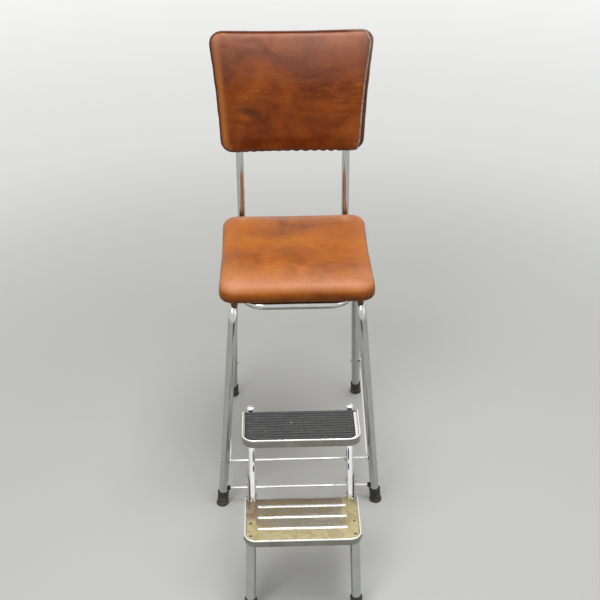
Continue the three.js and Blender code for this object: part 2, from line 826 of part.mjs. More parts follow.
function buildLowerTread() {
  const place = lowerTreadPlace;
  const deck = deckHeight(place);
  const ridges = [];
  for (const share of beadDepthShares) {
    const ridge = new THREE.CapsuleGeometry(bead.radius, bead.length, 3, pinSides);
    ridge.rotateZ(Math.PI / 2);
    ridge.translate(0, -(place.forward + place.depth * share), deck + bead.proud - bead.radius);
    ridges.push(ridge);
  }
  const holes = [];
  for (const [name, side] of sides) {
    const x = side * stepPost.half;
    const postHole = spot(x, postFoot, deck);
    holes.push(drill(postHole, upward, cutOverrun, stepPost.radius + turnGap));
    for (const share of studHole.depthShares) {
      const stud = spot(side * (tread.width / 2 - studHole.sideMargin), place.forward + place.depth * share, deck);
      holes.push(drill(stud, upward, cutOverrun, studHole.radius));
    }
    holes.push(drill(spot(x, place.forward, lowerRivetHeight), rearward, cutOverrun, rivet.radius + drillGap));
    const headSeat = spot(x, place.forward - touchGap, lowerRivetHeight);
    const grip = tread.wall + 2 * stepPost.radius + 3 * touchGap;
    const shape = fastener(headSeat, rearward.clone().negate(), grip, rivet);
    addPart(`lower_tread_rivet_${name}`, shape, zinc);
    const legMiddle = stepLegAt(side, lowerRivetHeight);
    const apronFace = legMiddle.clone();
    apronFace.x = (side * tread.width) / 2;
    holes.push(drill(apronFace, across, cutOverrun, rivet.radius + drillGap));
  }
  addPart("lower_tread", cut(treadPan(place, ridges), holes), pressedSteel);
}

function buildStepLegs() {
  const inward = tread.wall + touchGap;
  for (const [name, side] of sides) {
    const { top, foot } = stepLegEnds(side);
    const axis = top.clone().sub(foot).normalize();
    const lowerEdge = stepLeg.radius * Math.hypot(axis.x, axis.y);
    const upperEnd = top.clone().addScaledVector(axis, -(tread.wall + touchGap + lowerEdge));
    const path = new BentPath([tubeEnd(foot, top, stepTip), upperEnd], () => 0);
    const middle = stepLegAt(side, lowerRivetHeight);
    const hole = drill(middle, across, stepLeg.radius + cutOverrun, rivet.radius + drillGap);
    addPart(`step_leg_${name}`, cut(tube(path, stepLeg), [hole]), chrome);
    addPart(`step_foot_${name}`, rubberTip(foot, top, stepLeg.radius, stepTip), rubber);
    const headSeat = middle.clone();
    headSeat.x = side * (tread.width / 2 + touchGap);
    const innerFace = Math.abs(middle.x) - stepLeg.radius - inward;
    const grip = Math.abs(headSeat.x) - innerFace;
    const shape = fastener(headSeat, across.clone().multiplyScalar(-side), grip, rivet);
    addPart(`step_leg_rivet_${name}`, shape, zinc);
  }
}

// The posts' top ends are spun closed to domes
function buildStepPosts() {
  const reach = stepPost.radius + cutOverrun;
  const domeRadius = stepPost.radius + postDome.lip;
  const domeProfile = [
    [0, -stepPost.wall],
    [domeRadius, -stepPost.wall],
    [domeRadius, 0],
    [domeRadius * 0.8, postDome.height * 0.7],
    [domeRadius * 0.4, postDome.height],
    [0, postDome.height],
  ];
  for (const [name, side] of sides) {
    const corners = postCorners(side);
    const post = tube(new BentPath(corners, () => stepPost.bendRadius), stepPost);
    const holes = armBoltHeights.map((height) => {
      return drill(postAt(side, height), across, reach, bolt.radius + drillGap);
    });
    const rivetHole = rivet.radius + drillGap;
    const x = side * stepPost.half;
    holes.push(drill(spot(x, postHead, upperRivetHeight), rearward, reach, rivetHole));
    holes.push(drill(spot(x, postFoot, lowerRivetHeight), rearward, reach, rivetHole));
    const dome = turned(domeProfile, corners[corners.length - 1], upward, ringSides);
    addPart(`step_post_${name}`, cut(join([post, dome]), holes), chrome);
  }
}

// Flat arms from the posts to the upper rod, which the whole step unit turns on
function armOutline() {
  const points = [];
  const eyeSteps = 8;
  const low = postAt(1, armLow);
  const high = postAt(1, armHigh);
  const lowTip = new THREE.Vector2(-low.y + arm.overlap, low.z);
  const highTip = new THREE.Vector2(-high.y + arm.reach, high.z);
  const highBack = new THREE.Vector2(-high.y - arm.overlap, high.z);
  const eyeMiddle = new THREE.Vector2(upperRodForward, upperRodHeight);
  // The eye's round end starts and ends square to the arm's two long edges.
  const lowAngle = lowTip.clone().sub(eyeMiddle).angle() - Math.PI / 2;
  const highAngle = highBack.clone().sub(eyeMiddle).angle() + Math.PI / 2;
  const sweep = 2 * Math.PI - (highAngle - lowAngle);
  points.push(lowTip, highTip, highBack);
  for (let step = 0; step <= eyeSteps; step += 1) {
    const angle = highAngle + (sweep * step) / eyeSteps;
    points.push(
      new THREE.Vector2(
        eyeMiddle.x + arm.eyeRadius * Math.cos(angle),
        eyeMiddle.y + arm.eyeRadius * Math.sin(angle),
      ),
    );
  }
  return points;
}

function buildArms() {
  const rows = ["lower", "upper"];
  const inner = stepPost.half + stepPost.radius + touchGap;
  for (const [name, side] of sides) {
    const x = side > 0 ? inner : -inner - arm.thickness;
    const plate = sidePlate(armOutline(), x, arm.thickness);
    const middleX = x + arm.thickness / 2;
    const pivot = spot(middleX, upperRodForward, upperRodHeight);
    const holes = [drill(pivot, across, cutOverrun, rodRadius + turnGap)];
    armBoltHeights.forEach((height, index) => {
      const boltMiddle = postAt(side, height);
      const plateHole = boltMiddle.clone();
      plateHole.x = middleX;
      holes.push(drill(plateHole, across, cutOverrun, bolt.radius + drillGap));
      const headSeat = boltMiddle.clone();
      headSeat.x = side * (inner + arm.thickness + touchGap);
      const grip = arm.thickness + 2 * stepPost.radius + 3 * touchGap;
      const shape = fastener(headSeat, across.clone().multiplyScalar(-side), grip, bolt);
      addPart(`arm_bolt_${rows[index]}_${name}`, shape, zinc);
    });
    addPart(`pivot_arm_${name}`, cut(plate, holes), zinc);
    // A collar on the rod inside each arm keeps the step unit in the middle.
    const near = spot(side * (inner - touchGap), upperRodForward, upperRodHeight);
    const far = near.clone().addScaledVector(across, -side * collar.length);
    addPart(`rod_collar_${name}`, ringBetween(near, far, collar.radius, rodRadius + touchGap), zinc);
  }
}

buildLegs();
buildBackFrame();
buildSeat();
buildBackrest();
buildRods();
buildSideRods();
buildUpperTread();
buildMat();
buildLowerTread();
buildStepLegs();
buildStepPosts();
buildArms();

// The origin is on the floor under the middle of the whole chair, steps out
const extent = new THREE.Box3().setFromObject(chair);
chair.position.y = -(extent.min.y + extent.max.y) / 2;

export default chair;
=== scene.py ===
import math

import bmesh
import bpy
import numpy as np
from mathutils import Matrix, Vector, noise
from mathutils.bvhtree import BVHTree


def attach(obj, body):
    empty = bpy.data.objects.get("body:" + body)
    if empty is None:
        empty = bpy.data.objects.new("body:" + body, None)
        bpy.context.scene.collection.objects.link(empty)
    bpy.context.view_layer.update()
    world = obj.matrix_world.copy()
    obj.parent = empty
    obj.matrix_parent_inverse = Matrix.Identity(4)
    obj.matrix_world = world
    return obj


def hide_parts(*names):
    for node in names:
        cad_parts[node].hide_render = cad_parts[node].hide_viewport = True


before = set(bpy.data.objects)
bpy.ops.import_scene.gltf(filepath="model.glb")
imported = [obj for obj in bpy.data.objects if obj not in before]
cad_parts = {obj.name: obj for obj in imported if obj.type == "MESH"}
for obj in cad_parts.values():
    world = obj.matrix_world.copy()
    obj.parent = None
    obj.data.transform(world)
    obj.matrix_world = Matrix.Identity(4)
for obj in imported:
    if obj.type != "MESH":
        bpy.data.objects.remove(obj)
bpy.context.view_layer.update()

# The part's measures, in millimetres; forward is measured from the front feet
ROW_SHIFT = 49.174
SIDES = (("left", -1), ("right", 1))
SQUARE = ((-1, -1), (1, -1), (1, 1), (-1, 1))
TOUCH = 0.3  # between pieces that rest on each other
LEG_R, BACK_R, ROD_R, POST_R = 11.1, 9.5, 3.175, 8.0
SEAT_UNDER = 568.0
LEG_RUN, RUNNER = SEAT_UNDER - TOUCH - LEG_R, SEAT_UNDER - TOUCH - BACK_R
FRONT_FOOT, FRONT_TOP, FRONT_TOP_F = 192.4, 146.0, -40.0
REAR_FOOT, REAR_TOP, REAR_TOP_F, REAR_FOOT_F = 174.5, 153.5, -325.0, -453.0
TUBE_LIFT = 0.0075  # a leg's tube ends this far above the floor, in metres
SEAT_F = -210.0
# Cushions; narrow is how much less the width is at the end that sense points to
SEAT = dict(
    width=359.0, narrow=4.0, depth=364.0, thick=42.0, crown=11.0, corner=36.0, draw=2.5, lip=2.2, roll=13.0,
    board=10.0, inset=14.0, sense=1, flat=0.32, front_rounds=26, cap=7.0, top_slack=1.5, side_slack=2.0,
)
BACK = dict(
    width=383.0, narrow=36.0, depth=293.0, thick=38.0, crown=7.0, corner=30.0, draw=2.5, lip=1.6, roll=11.0,
    board=8.0, inset=13.0, sense=-1, flat=0.85, front_rounds=0, cap=6.0, top_slack=1.2, side_slack=1.8,
)
BACK_RISE = 370.0
RUNNER_FRONT_F = SEAT_F + SEAT["depth"] / 2 - 14
BACK_POST_F = SEAT_F - SEAT["depth"] / 2 - 2.5 - BACK_R
BACK_POST_X, RUNNER_FRONT_X, BACK_POST_LENGTH = 131.5, 124.0, 492.0
LEAN = math.radians(5)
SEAT_SCREW_SHARES = (("front", 0.316, 0.2335), ("rear", -0.165, -0.33))  # row, in the legs, in the runners
BACK_SCREW_RISES = (("lower", 300), ("upper", 450))
UPPER_ROD_Z, LOWER_ROD_Z = 129.0, 46.0
TREAD_W, TREAD_WALL, TREAD_RIM, RIM_H, TREAD_CORNER = 257.0, 1.3, 4.0, 3.0, 26.0
UPPER = dict(back=147.0, depth=102.0, top=402.0, apron=20.0)
LOWER = dict(back=206.0, depth=137.0, top=200.0, apron=18.0)
BEAD_SHARES, STUD_SHARES = (0.19, 0.44, 0.7), (0.57, 0.86)
STEP_LEG_TOP, STEP_LEG_FOOT, STEP_LEG_TOP_F, STEP_LEG_FOOT_F = 113.5, 119.0, 320.0, 355.0
POST_X = 110.0
POST_HEAD_F = UPPER["back"] - TOUCH - POST_R
POST_FOOT_F = LOWER["back"] + TREAD_WALL + TOUCH + POST_R
ARM_LOW, ARM_SPAN, ARM_THICK, ARM_EYE = LOWER["top"] + 7, 48, 3, 9


def at(x, forward, height):
    """A place in the shared frame, in metres."""
    return Vector((x, -forward - ROW_SHIFT, height)) / 1000


def forward_of(place):
    return -place.y * 1000 - ROW_SHIFT


def unit(value):
    return min(max(value, 0), 1)


def tent(value, reach):
    """1 at zero, falling straight to 0 at the reach on either side."""
    return max(0.0, 1 - abs(value) / reach)


def circle(sides):
    """Cosine and sine at even steps round a circle."""
    return [(math.cos(a), math.sin(a)) for a in (2 * math.pi * k / sides for k in range(sides))]


# Materials

def srgb(colour):
    """The linear values of a colour in bytes."""
    shares = (v / 255 for v in colour)
    return tuple(v / 12.92 if v <= 0.04045 else ((v + 0.055) / 1.055) ** 2.4 for v in shares) + (1,)


class Paint:
    """A material's node tree, with short calls; a colour of three numbers is in bytes."""

    def __init__(self, name, **values):
        self.mat = bpy.data.materials.new(name)
        self.mat.use_nodes = True
        self.tree = self.mat.node_tree
        self.shader = next(n for n in self.tree.nodes if n.type == "BSDF_PRINCIPLED")
        for socket, value in values.items():
            self.shader.inputs[socket.replace("_", " ")].default_value = value
        self.place = self.add("TexCoord").outputs["Object"]

    def add(self, kind, inputs=None, **props):
        node = self.tree.nodes.new("ShaderNode" + kind)
        for key, value in props.items():
            setattr(node, key, value)
        for key, value in (inputs or {}).items():
            self.feed(node.inputs[key], value)
        return node

    def feed(self, socket, value):
        if isinstance(value, bpy.types.NodeSocket):
            self.tree.links.new(value, socket)
        else:
            socket.default_value = srgb(value) if socket.type == "RGBA" and len(value) == 3 else value

    def noise(self, scale, detail=3, rough=0.55, warp=0.0, stretch=None, turn=(0, 0, 0)):
        place = self.place
        if stretch:
            place = self.add("Mapping", {"Vector": place, "Scale": stretch, "Rotation": turn}).outputs[0]
        inputs = {"Vector": place, "Scale": scale, "Detail": detail, "Roughness": rough, "Distortion": warp}
        return self.add("TexNoise", inputs).outputs["Fac"]

    def cells(self, scale):
        return self.add("TexVoronoi", {"Vector": self.place, "Scale": scale}).outputs["Distance"]

    def ramp(self, value, *stops):
        node = self.add("ValToRGB", {0: value})
        elements = node.color_ramp.elements
        while len(elements) < len(stops):
            elements.new(0.5)
        for element, (spot, colour) in zip(elements, stops):
            element.position = spot
            element.color = srgb(colour) if len(colour) == 3 else colour
        return node.outputs[0]

    def remap(self, value, a, b, lo=0.0, hi=1.0):
        inputs = dict(enumerate((value, a, b, lo, hi)))
        return self.add("MapRange", inputs, interpolation_type="SMOOTHSTEP").outputs[0]

    def math(self, op, a, b=0.0, clamp=False):
        return self.add("Math", {0: a, 1: b}, operation=op, use_clamp=clamp).outputs[0]

    def plus(self, a, b):
        return self.math("ADD", a, b)

    def minus(self, a, b):
        return self.math("SUBTRACT", a, b)

    def times(self, a, b):
        return self.math("MULTIPLY", a, b)

    def most(self, a, b):
        return self.math("MAXIMUM", a, b)

    def mix(self, share, a, b):
        return self.add("Mix", {0: share, 6: a, 7: b}, data_type="RGBA").outputs[2]

    def over(self, colour, mask, share, other):
        """Lays another colour over the first, as far as the mask and the share go."""
        return self.mix(self.times(mask, share), colour, other)

    def axes(self):
        return self.add("SeparateXYZ", {0: self.place}).outputs

    def mask(self, name):
        """A value stored on the mesh's points."""
        return self.add("Attribute", attribute_name=name).outputs["Fac"]

    def bump(self, *layers):
        """Layers of (height, strength, distance), finest first."""
        normal = None
        for height, strength, distance in layers:
            inputs = {"Strength": strength, "Distance": distance, "Height": height}
            if normal is not None:
                inputs["Normal"] = normal
            normal = self.add("Bump", inputs).outputs[0]
        self.feed(self.shader.inputs["Normal"], normal)

    def out(self, colour, rough=None, metal=None):
        for socket, value in (("Base Color", colour), ("Roughness", rough), ("Metallic", metal)):
            if value is not None:
                self.feed(self.shader.inputs[socket], value)
        return self.mat


def make_vinyl(name, tones, veined, rough, lit_edge_tone, sheen_tone):
    """Marbled saddle-brown coated cloth; tones run from its dark clouds to its light ones."""
    p = Paint(name, Specular_IOR_Level=0.18, Coat_Weight=0.04, Coat_Roughness=0.3)
    clouds = p.noise(7.5, 3, 0.55, 0.8)
    streaks = p.noise(21, 5, 0.58, 1.4, (0.75, 1.0, 1.3))
    mottle = p.noise(95, 5, 0.6, 0.6)
    tone = p.plus(p.times(clouds, 0.66), p.times(streaks, 0.34))
    veins = p.remap(p.noise(30, 5, 0.6, 2.0, (1.1, 1.0, 0.8), (0.3, 0.5, 0.9)), 0.57, 0.72)
    colour = p.ramp(tone, *((0.32 + 0.10 * i, colour) for i, colour in enumerate(tones)))
    colour = p.over(colour, veins, veined, (92, 38, 16))
    colour = p.over(colour, p.remap(mottle, 0.42, 0.70), 0.16, (112, 50, 16))
    # Painted shade: darker where the shade mask says, on lower faces, sides and patches
    colour = p.over(colour, p.mask("shade"), 0.8, (62, 26, 14))
    # Painted light on the rolled edges, and on the backrest light scuffs as well
    colour = p.over(colour, p.mask("glow"), 0.75, lit_edge_tone)
    # Painted sheen: a paler tone where the cover catches the light
    patchy = p.remap(streaks, 0.34, 0.66, 1.0 - veined * 0.4, 1.05)
    colour = p.over(colour, p.times(p.mask("painted_sheen"), 0.6), patchy, sheen_tone)
    # Long thin creases where the cover has been bent
    bent_noise = p.noise(24, 4, 0.5, 0.5, (0.42, 1.0, 2.6))
    line = p.remap(p.math("ABSOLUTE", p.minus(bent_noise, 0.5)), 0.0, 0.016, 1.0, 0.0)
    line = p.times(line, p.mask("crease"))
    colour = p.over(colour, line, 0.42, (204, 142, 92))
    pores, grain, folds = p.noise(1500, 3, 0.6), p.cells(620), p.noise(60, 4, 0.55, 0.8, (0.6, 1.0, 2.2))
    dips = p.minus(1.0, line)
    p.bump((pores, 0.10, 0.0003), (grain, 0.16, 0.0005), (folds, 0.05, 0.002), (dips, 0.35, 0.0012))
    haze = p.remap(clouds, 0.3, 0.7, rough, rough + 0.09)
    return p.out(colour, p.plus(haze, p.times(p.remap(mottle, 0.4, 0.7), 0.05)))


def make_welt():
    p = Paint("welt_painted_highlight", Specular_IOR_Level=0.4)
    wear = p.remap(p.noise(90, 4, 0.6, 0.4), 0.36, 0.6)
    # Painted highlight: paler where the piping rolls onto the face at the right, in patches of wear
    right = p.remap(p.axes()[0], 0.12, 0.165)
    dark = p.ramp(p.noise(55), (0.3, (62, 27, 17)), (0.7, (98, 46, 27)))
    pale = p.ramp(p.noise(130), (0.3, (138, 122, 108)), (0.7, (176, 164, 148)))
    colour = p.mix(p.math("MULTIPLY", right, p.plus(p.times(wear, 0.35), 0.6), True), dark, pale)
    p.bump((p.noise(1200), 0.15, 0.0003), (p.cells(700), 0.2, 0.0004))
    return p.out(colour, p.remap(wear, 0, 1, 0.42, 0.55))


def make_chrome(name, low, high, tint, rust):
    """Old plating: bright, with a slight haze, fine scratches along it and rust specks low down."""
    p = Paint(name)
    haze = p.noise(22, 4, 0.55, 0.4)
    lowdown = p.remap(p.axes()[2], 0.20, 0.02)
    pits = p.remap(p.plus(p.noise(330, 2, 0.5), p.times(lowdown, 0.05 * rust)), 0.715, 0.755)
    dim = (tint[0] * 0.93, tint[1] * 0.93, tint[2] * 0.92, 1)
    clear = (tint[0] * 1.07, tint[1] * 1.07, tint[2] * 1.08, 1)
    colour = p.over(p.ramp(haze, (0.3, dim), (0.7, clear)), pits, 0.7, (104, 70, 44))
    rough = p.plus(p.remap(haze, 0.42, 0.75, low, high), p.times(pits, 0.3))
    p.bump((p.noise(420, 2, 0.5, 0.0, (1, 1, 0.06)), 0.02, 0.0002), (p.noise(260, 4, 0.6), 0.012, 0.0002))
    return p.out(colour, rough, p.minus(1.0, p.times(pits, 0.6)))


def make_zinc(name, scale, tones, spotted):
    p = Paint(name)
    cloud = p.noise(scale, 4, 0.6, 0.3)
    spots = p.remap(p.noise(scale * 1.7, 3, 0.6), 0.62, 0.72)
    colour = p.over(p.ramp(cloud, *zip((0.25, 0.55, 0.8), tones)), spots, spotted, (112, 84, 58))
    p.bump((p.noise(900, 2), 0.08, 0.0002), (cloud, 0.08, 0.0004))
    return p.out(colour, p.remap(cloud, 0.3, 0.7, 0.28, 0.46), 0.9)


def make_steel(name, spec=None, pale=0.0, duller=0.0, metal=0.9):
    """Softly brushed pressed steel; where a tread's measures are given, its rolled rim's top carries a painted
    highlight.
    """
    p = Paint(name)
    cloud = p.noise(20, 3, 0.5, 0.5)
    grime = p.remap(p.noise(60, 5, 0.65, 0.5), 0.54, 0.76)
    rough = p.plus(p.remap(cloud, 0.3, 0.7, 0.20, 0.28), p.times(grime, 0.14))
    if spec:
        # Painted highlight: the rim's top band is near-white, smoother and less metallic
        pale = p.remap(p.axes()[2], (spec["top"] - 2.9) / 1000, (spec["top"] - 1.8) / 1000)
        rough = p.minus(rough, p.times(pale, 0.06))
        metal = p.minus(metal, p.times(pale, 0.45))
    else:
        rough = p.plus(rough, duller)
    dull = p.over(p.ramp(cloud, (0.3, (134, 133, 124)), (0.7, (156, 155, 147))), grime, 0.35, (112, 104, 80))
    p.bump((p.noise(60, 4, 0.6, 0.0, (0.5, 0.5, 6)), 0.04, 0.0003), (cloud, 0.03, 0.001))
    return p.out(p.mix(pale, dull, (248, 248, 244)), rough, metal)


def make_bare_deck():
    """The lower tread's deck: the mat is gone, and its glue, stains and rust are left."""
    p = Paint("stained_tread_deck", Specular_IOR_Level=0.5)
    x, y, _ = p.axes()
    back_y = -(LOWER["back"] + ROW_SHIFT) / 1000
    front_y = back_y - LOWER["depth"] / 1000
    streak = p.noise(60, 5, 0.62, 0.6, (0.16, 1.6, 1))
    blotch = p.noise(42, 5, 0.62, 1.0)
    fine = p.noise(230, 5, 0.65, 0.5)
    tones = (138, 114, 86), (176, 158, 118), (152, 150, 140), (186, 176, 148), (158, 134, 104)
    cloud = p.plus(p.times(streak, 0.7), p.times(blotch, 0.3))
    colour = p.ramp(cloud, *zip((0.30, 0.43, 0.53, 0.62, 0.74), tones))
    # Rust and brown stain at the left end and along the back
    left = p.times(p.remap(x, -0.085, -0.108), p.remap(p.noise(70, 5, 0.65, 1.2), 0.38, 0.60))
    rear = p.times(p.remap(y, back_y - 0.020, back_y - 0.006), p.remap(streak, 0.36, 0.6))
    stain = p.most(left, p.times(rear, 0.7))
    colour = p.over(colour, stain, 0.85, p.ramp(fine, (0.35, (128, 82, 50)), (0.65, (176, 132, 96))))
    spill = p.remap(p.noise(58, 4, 0.6, 1.5, (0.8, 1.2, 1)), 0.62, 0.72)
    colour = p.over(colour, spill, 0.5, (74, 70, 58))
    # Dried glue: the right end, the left front corner and the front strip
    drift = p.minus(blotch, 0.5)
    edge = p.plus(x, p.times(drift, 0.055))
    right_end = p.remap(edge, 0.088, 0.094)
    front = p.remap(p.plus(y, p.times(drift, 0.012)), front_y + 0.038, front_y + 0.033)
    left_end = p.times(p.remap(p.minus(0.0, edge), 0.096, 0.102), p.remap(y, back_y - 0.055, back_y - 0.075))
    glue = p.most(p.most(right_end, p.times(front, 0.8)), left_end)
    glue = p.times(glue, p.remap(fine, 0.22, 0.42, 0.55, 1.0))
    glues = (152, 138, 96), (182, 168, 122), (198, 186, 142), (176, 138, 84), (192, 176, 128)
    colour = p.mix(glue, colour, p.ramp(blotch, *zip((0.30, 0.45, 0.6, 0.72, 0.8), glues)))
    # Painted highlight: the beads' crowns are near-white, smoother and more metallic
    bright = p.mask("bead")
    colour = p.mix(bright, colour, (246, 246, 242))
    metal = p.math("SUBTRACT", p.minus(0.45, p.times(glue, 0.45)), p.times(stain, 0.25), True)
    metal = p.most(metal, p.times(bright, 0.8))
    rough = p.plus(p.remap(blotch, 0.3, 0.7, 0.36, 0.50), p.times(glue, 0.22))
    p.bump((fine, 0.10, 0.0003), (p.times(glue, p.noise(150, 5, 0.7)), 0.55, 0.0009))
    return p.out(colour, p.minus(rough, p.times(bright, 0.16)), metal)


def make_mat():
    p = Paint("worn_ribbed_rubber", Specular_IOR_Level=0.28)
    dust = p.noise(46, 5, 0.65, 0.7, (0.45, 1.4, 1))
    specks = p.remap(p.noise(210, 3, 0.6, 0.2, (0.6, 1.3, 1)), 0.665, 0.73)
    crests = p.ramp(dust, (0.3, (48, 49, 50)), (0.55, (74, 75, 74)), (0.8, (110, 109, 103)))
    colour = p.over(p.mix(p.mask("ridge"), (20, 20, 21), crests), specks, 0.7, (176, 172, 158))
    p.bump((p.noise(1100), 0.2, 0.0003), (p.noise(160, 4), 0.12, 0.0005))
    return p.out(colour, p.remap(dust, 0.3, 0.7, 0.40, 0.58))


def make_rubber(name, dark, dusty, low):
    """Black rubber that is dusty towards the floor."""
    p = Paint(name, Specular_IOR_Level=0.4)
    cloud = p.noise(75, 5, 0.65, 0.5)
    ground = p.remap(p.axes()[2], low, 0.0)
    dust = p.times(p.remap(cloud, 0.35, 0.65), p.plus(p.times(ground, 0.7), 0.25))
    p.bump((p.noise(900), 0.2, 0.0003), (cloud, 0.15, 0.0006))
    return p.out(p.mix(dust, dark, dusty), p.remap(cloud, 0.3, 0.7, 0.55, 0.75))


def make_plywood():
    p = Paint("birch_plywood", Specular_IOR_Level=0.3)
    rings = p.noise(9, 5, 0.6, 1.3, (1, 9, 9))
    grain = p.noise(60, 5, 0.65, 0.3, (0.7, 14, 14))
    wood = p.plus(p.times(rings, 0.6), p.times(grain, 0.4))
    colour = p.ramp(wood, (0.3, (134, 96, 58)), (0.5, (172, 132, 86)), (0.72, (198, 162, 114)))
    colour = p.over(colour, p.remap(p.noise(20, 4, 0.6, 0.8), 0.5, 0.75), 0.3, (96, 70, 46))
    p.bump((grain, 0.25, 0.0006))
    return p.out(colour, p.remap(rings, 0.3, 0.7, 0.62, 0.8))


# Dark inlays that stand for the shade inside holes, recesses and gaps: painted shadow
def make_dark():
    p = Paint("painted_shadow_inlay", Specular_IOR_Level=0.05)
    dark = srgb((20, 20, 22))
    p.bump((p.noise(700), 0.1, 0.0002))
    return p.out(p.ramp(p.noise(120), (0.3, dark), (0.8, tuple(c * 1.9 for c in dark[:3]) + (1,))), 0.7)


# The backrest's tones are darker than the seat's: painted shade on the same vinyl
SEAT_TONES = (130, 66, 14), (156, 82, 16), (172, 94, 20), (182, 104, 22), (190, 114, 30)
BACK_TONES_SHADED = (88, 36, 10), (114, 50, 12), (138, 65, 16), (154, 78, 20), (170, 94, 28)
ZINC_TONES = (122, 121, 116), (172, 171, 166), (196, 194, 186)
ARM_TONES = (150, 149, 144), (170, 169, 164), (186, 185, 178)

# Finishes: a material and its slot
VINYL_SEAT = make_vinyl("marbled_vinyl_seat", SEAT_TONES, 0.26, 0.34, (190, 108, 36), (220, 160, 124)), "vinyl"
VINYL_BACK = make_vinyl("marbled_vinyl_back_shaded", BACK_TONES_SHADED, 0.42, 0.36, (184, 108, 46), (166, 120, 102)), "vinyl"
WELT = make_welt(), "vinyl"
CHROME = make_chrome("worn_chrome", 0.04, 0.13, (0.50, 0.51, 0.50), 0.5), "chrome"
ROD_CHROME = make_chrome("rod_chrome", 0.10, 0.20, (0.76, 0.76, 0.745), 0.6), "chrome"
POST_CHROME = make_chrome("post_chrome", 0.08, 0.20, (0.80, 0.805, 0.80), 1.0), "chrome"
ZINC = make_zinc("dull_zinc", 140, ZINC_TONES, 0.6), "zinc"
ARM_ZINC = make_zinc("plated_arm", 34, ARM_TONES, 0.18), "zinc"
UPPER_STEEL = make_steel("upper_tread_steel", UPPER), "pressed_steel"
LOWER_STEEL = make_steel("lower_tread_steel", LOWER), "pressed_steel"
UPPER_DECK = make_steel("upper_deck_steel", pale=0.72, duller=0.24, metal=0.55), "pressed_steel"
UNDER_STEEL = make_steel("underside_steel"), "pressed_steel"
DECK = make_bare_deck(), "pressed_steel"
MAT_RUBBER = make_mat(), "mat"
TIP_RUBBER = make_rubber("dusty_tip_rubber", (30, 30, 28), (92, 90, 74), 0.045), "rubber"
BUSH_RUBBER = make_rubber("bush_rubber", (24, 24, 23), (58, 56, 50), 0.06), "rubber"
PLUG = make_rubber("black_plug", (22, 22, 22), (60, 58, 54), 1.1), "rubber"
PLY = make_plywood()
SHADOW = make_dark()


# Mesh tools

def add_object(name, shell):
    mesh = bpy.data.meshes.new(name)
    mesh.from_pydata([tuple(v) for v in shell.verts], [], shell.faces)
    obj = bpy.data.objects.new(name, mesh)
    bpy.context.scene.collection.objects.link(obj)
    return obj


def finish_off(obj, finish, body, node, masks):
    """Gives a piece its material and masks, sets it on its body, and hides the CAD node it stands for."""
    mesh = obj.data
    mesh.materials.clear()
    mesh.materials.append(finish[0])
    mesh.polygons.foreach_set("use_smooth", [True] * len(mesh.polygons))
    for key, values in masks.items():
        mesh.attributes.new(key, "FLOAT", "POINT").data.foreach_set("value", values)
    mesh.update()
    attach(obj, body)
    if node:
        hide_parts(node)


class Shell:
    """Points and faces of one piece, gathered from several closed forms."""

    def __init__(self):
        self.verts, self.faces = [], []

    def piece(self, name, finish, body, node=None, sharp=None, **masks):
        obj = add_object(name, self)
        finish_off(obj, finish, body, node, masks)
        obj.data.validate()
        if sharp:
            obj.data.set_sharp_from_angle(angle=math.radians(sharp))
        return obj

    def loft(self, rings, caps=True):
        base, count = len(self.verts), len(rings[0])
        for ring in rings:
            self.verts.extend(ring)
        for row in range(len(rings) - 1):
            for side in range(count):
                a = base + row * count + side
                b = base + row * count + (side + 1) % count
                self.faces.append((a, b, b + count, a + count))
        if caps:
            self.faces.append(tuple(base + i for i in reversed(range(count))))
            last = base + (len(rings) - 1) * count
            self.faces.append(tuple(last + i for i in range(count)))
        return self

    def lathe(self, profile, start, axis, sides):
        """A turned form; profile is (radius, along) in millimetres."""
        axis = axis.normalized()
        u = axis.orthogonal().normalized()
        w = axis.cross(u)
        turns = circle(sides)
        return self.loft([
            [start + (axis * along + (u * c + w * s) * max(radius, 0.01)) / 1000 for c, s in turns]
            for radius, along in profile
        ])

    def pipe(self, stations, radius, sides):
        """A round tube along stations; a bend is a little flattened, as in bent tube."""
        u = stations[0][1].orthogonal().normalized()
        turns = circle(sides)
        rings = []
        for place, heading, oval in stations:
            u = (u - heading * u.dot(heading)).normalized()
            w = heading.cross(u)
            rings.append([place + (u * c + w * s) * radius / 1000 * (1 - oval * 0.5) for c, s in turns])
        return self.loft(rings)

    def grid(self, rows):
        base, wide = len(self.verts), len(rows[0])
        for row in rows:
            self.verts.extend(row)
        for r in range(len(rows) - 1):
            for c in range(wide - 1):
                a = base + r * wide + c
                self.faces.append((a, a + 1, a + 1 + wide, a + wide))
        return self


def bent(corners, bends):
    """Stations along straight runs with round bends, 3 degrees apart: (place, heading, ovality)."""
    out = [(corners[0], (corners[1] - corners[0]).normalized(), 0.0)]
    for i in range(1, len(corners) - 1):
        a, b, c = corners[i - 1], corners[i], corners[i + 1]
        d, e = (b - a).normalized(), (c - b).normalized()
        turn = d.angle(e)
        radius = bends[i - 1] / 1000
        axis = d.cross(e).normalized()
        start = b - d * radius * math.tan(turn / 2)
        centre = start + axis.cross(d) * radius
        steps = max(3, int(math.degrees(turn) / 3))
        for k in range(steps + 1):
            spin = Matrix.Rotation(turn * k / steps, 3, axis)
            out.append((centre + spin @ (start - centre), spin @ d, 0.05 * math.sin(math.pi * k / steps)))
    out.append((corners[-1], (corners[-1] - corners[-2]).normalized(), 0.0))
    return out


def dome(radius, height, steps, start):
    turns = (math.pi / 2 * k / steps for k in range(steps + 1))
    return [(radius * math.cos(t), start + height * math.sin(t)) for t in turns]


# Frame

X = Vector((1, 0, 0))
UP = Vector((0, 0, 1))
FORWARD = Vector((0, -1, 0))
ALONG_BACK = Vector((0, math.sin(LEAN), math.cos(LEAN)))
OUT_OF_BACK = Vector((0, -math.cos(LEAN), math.sin(LEAN)))


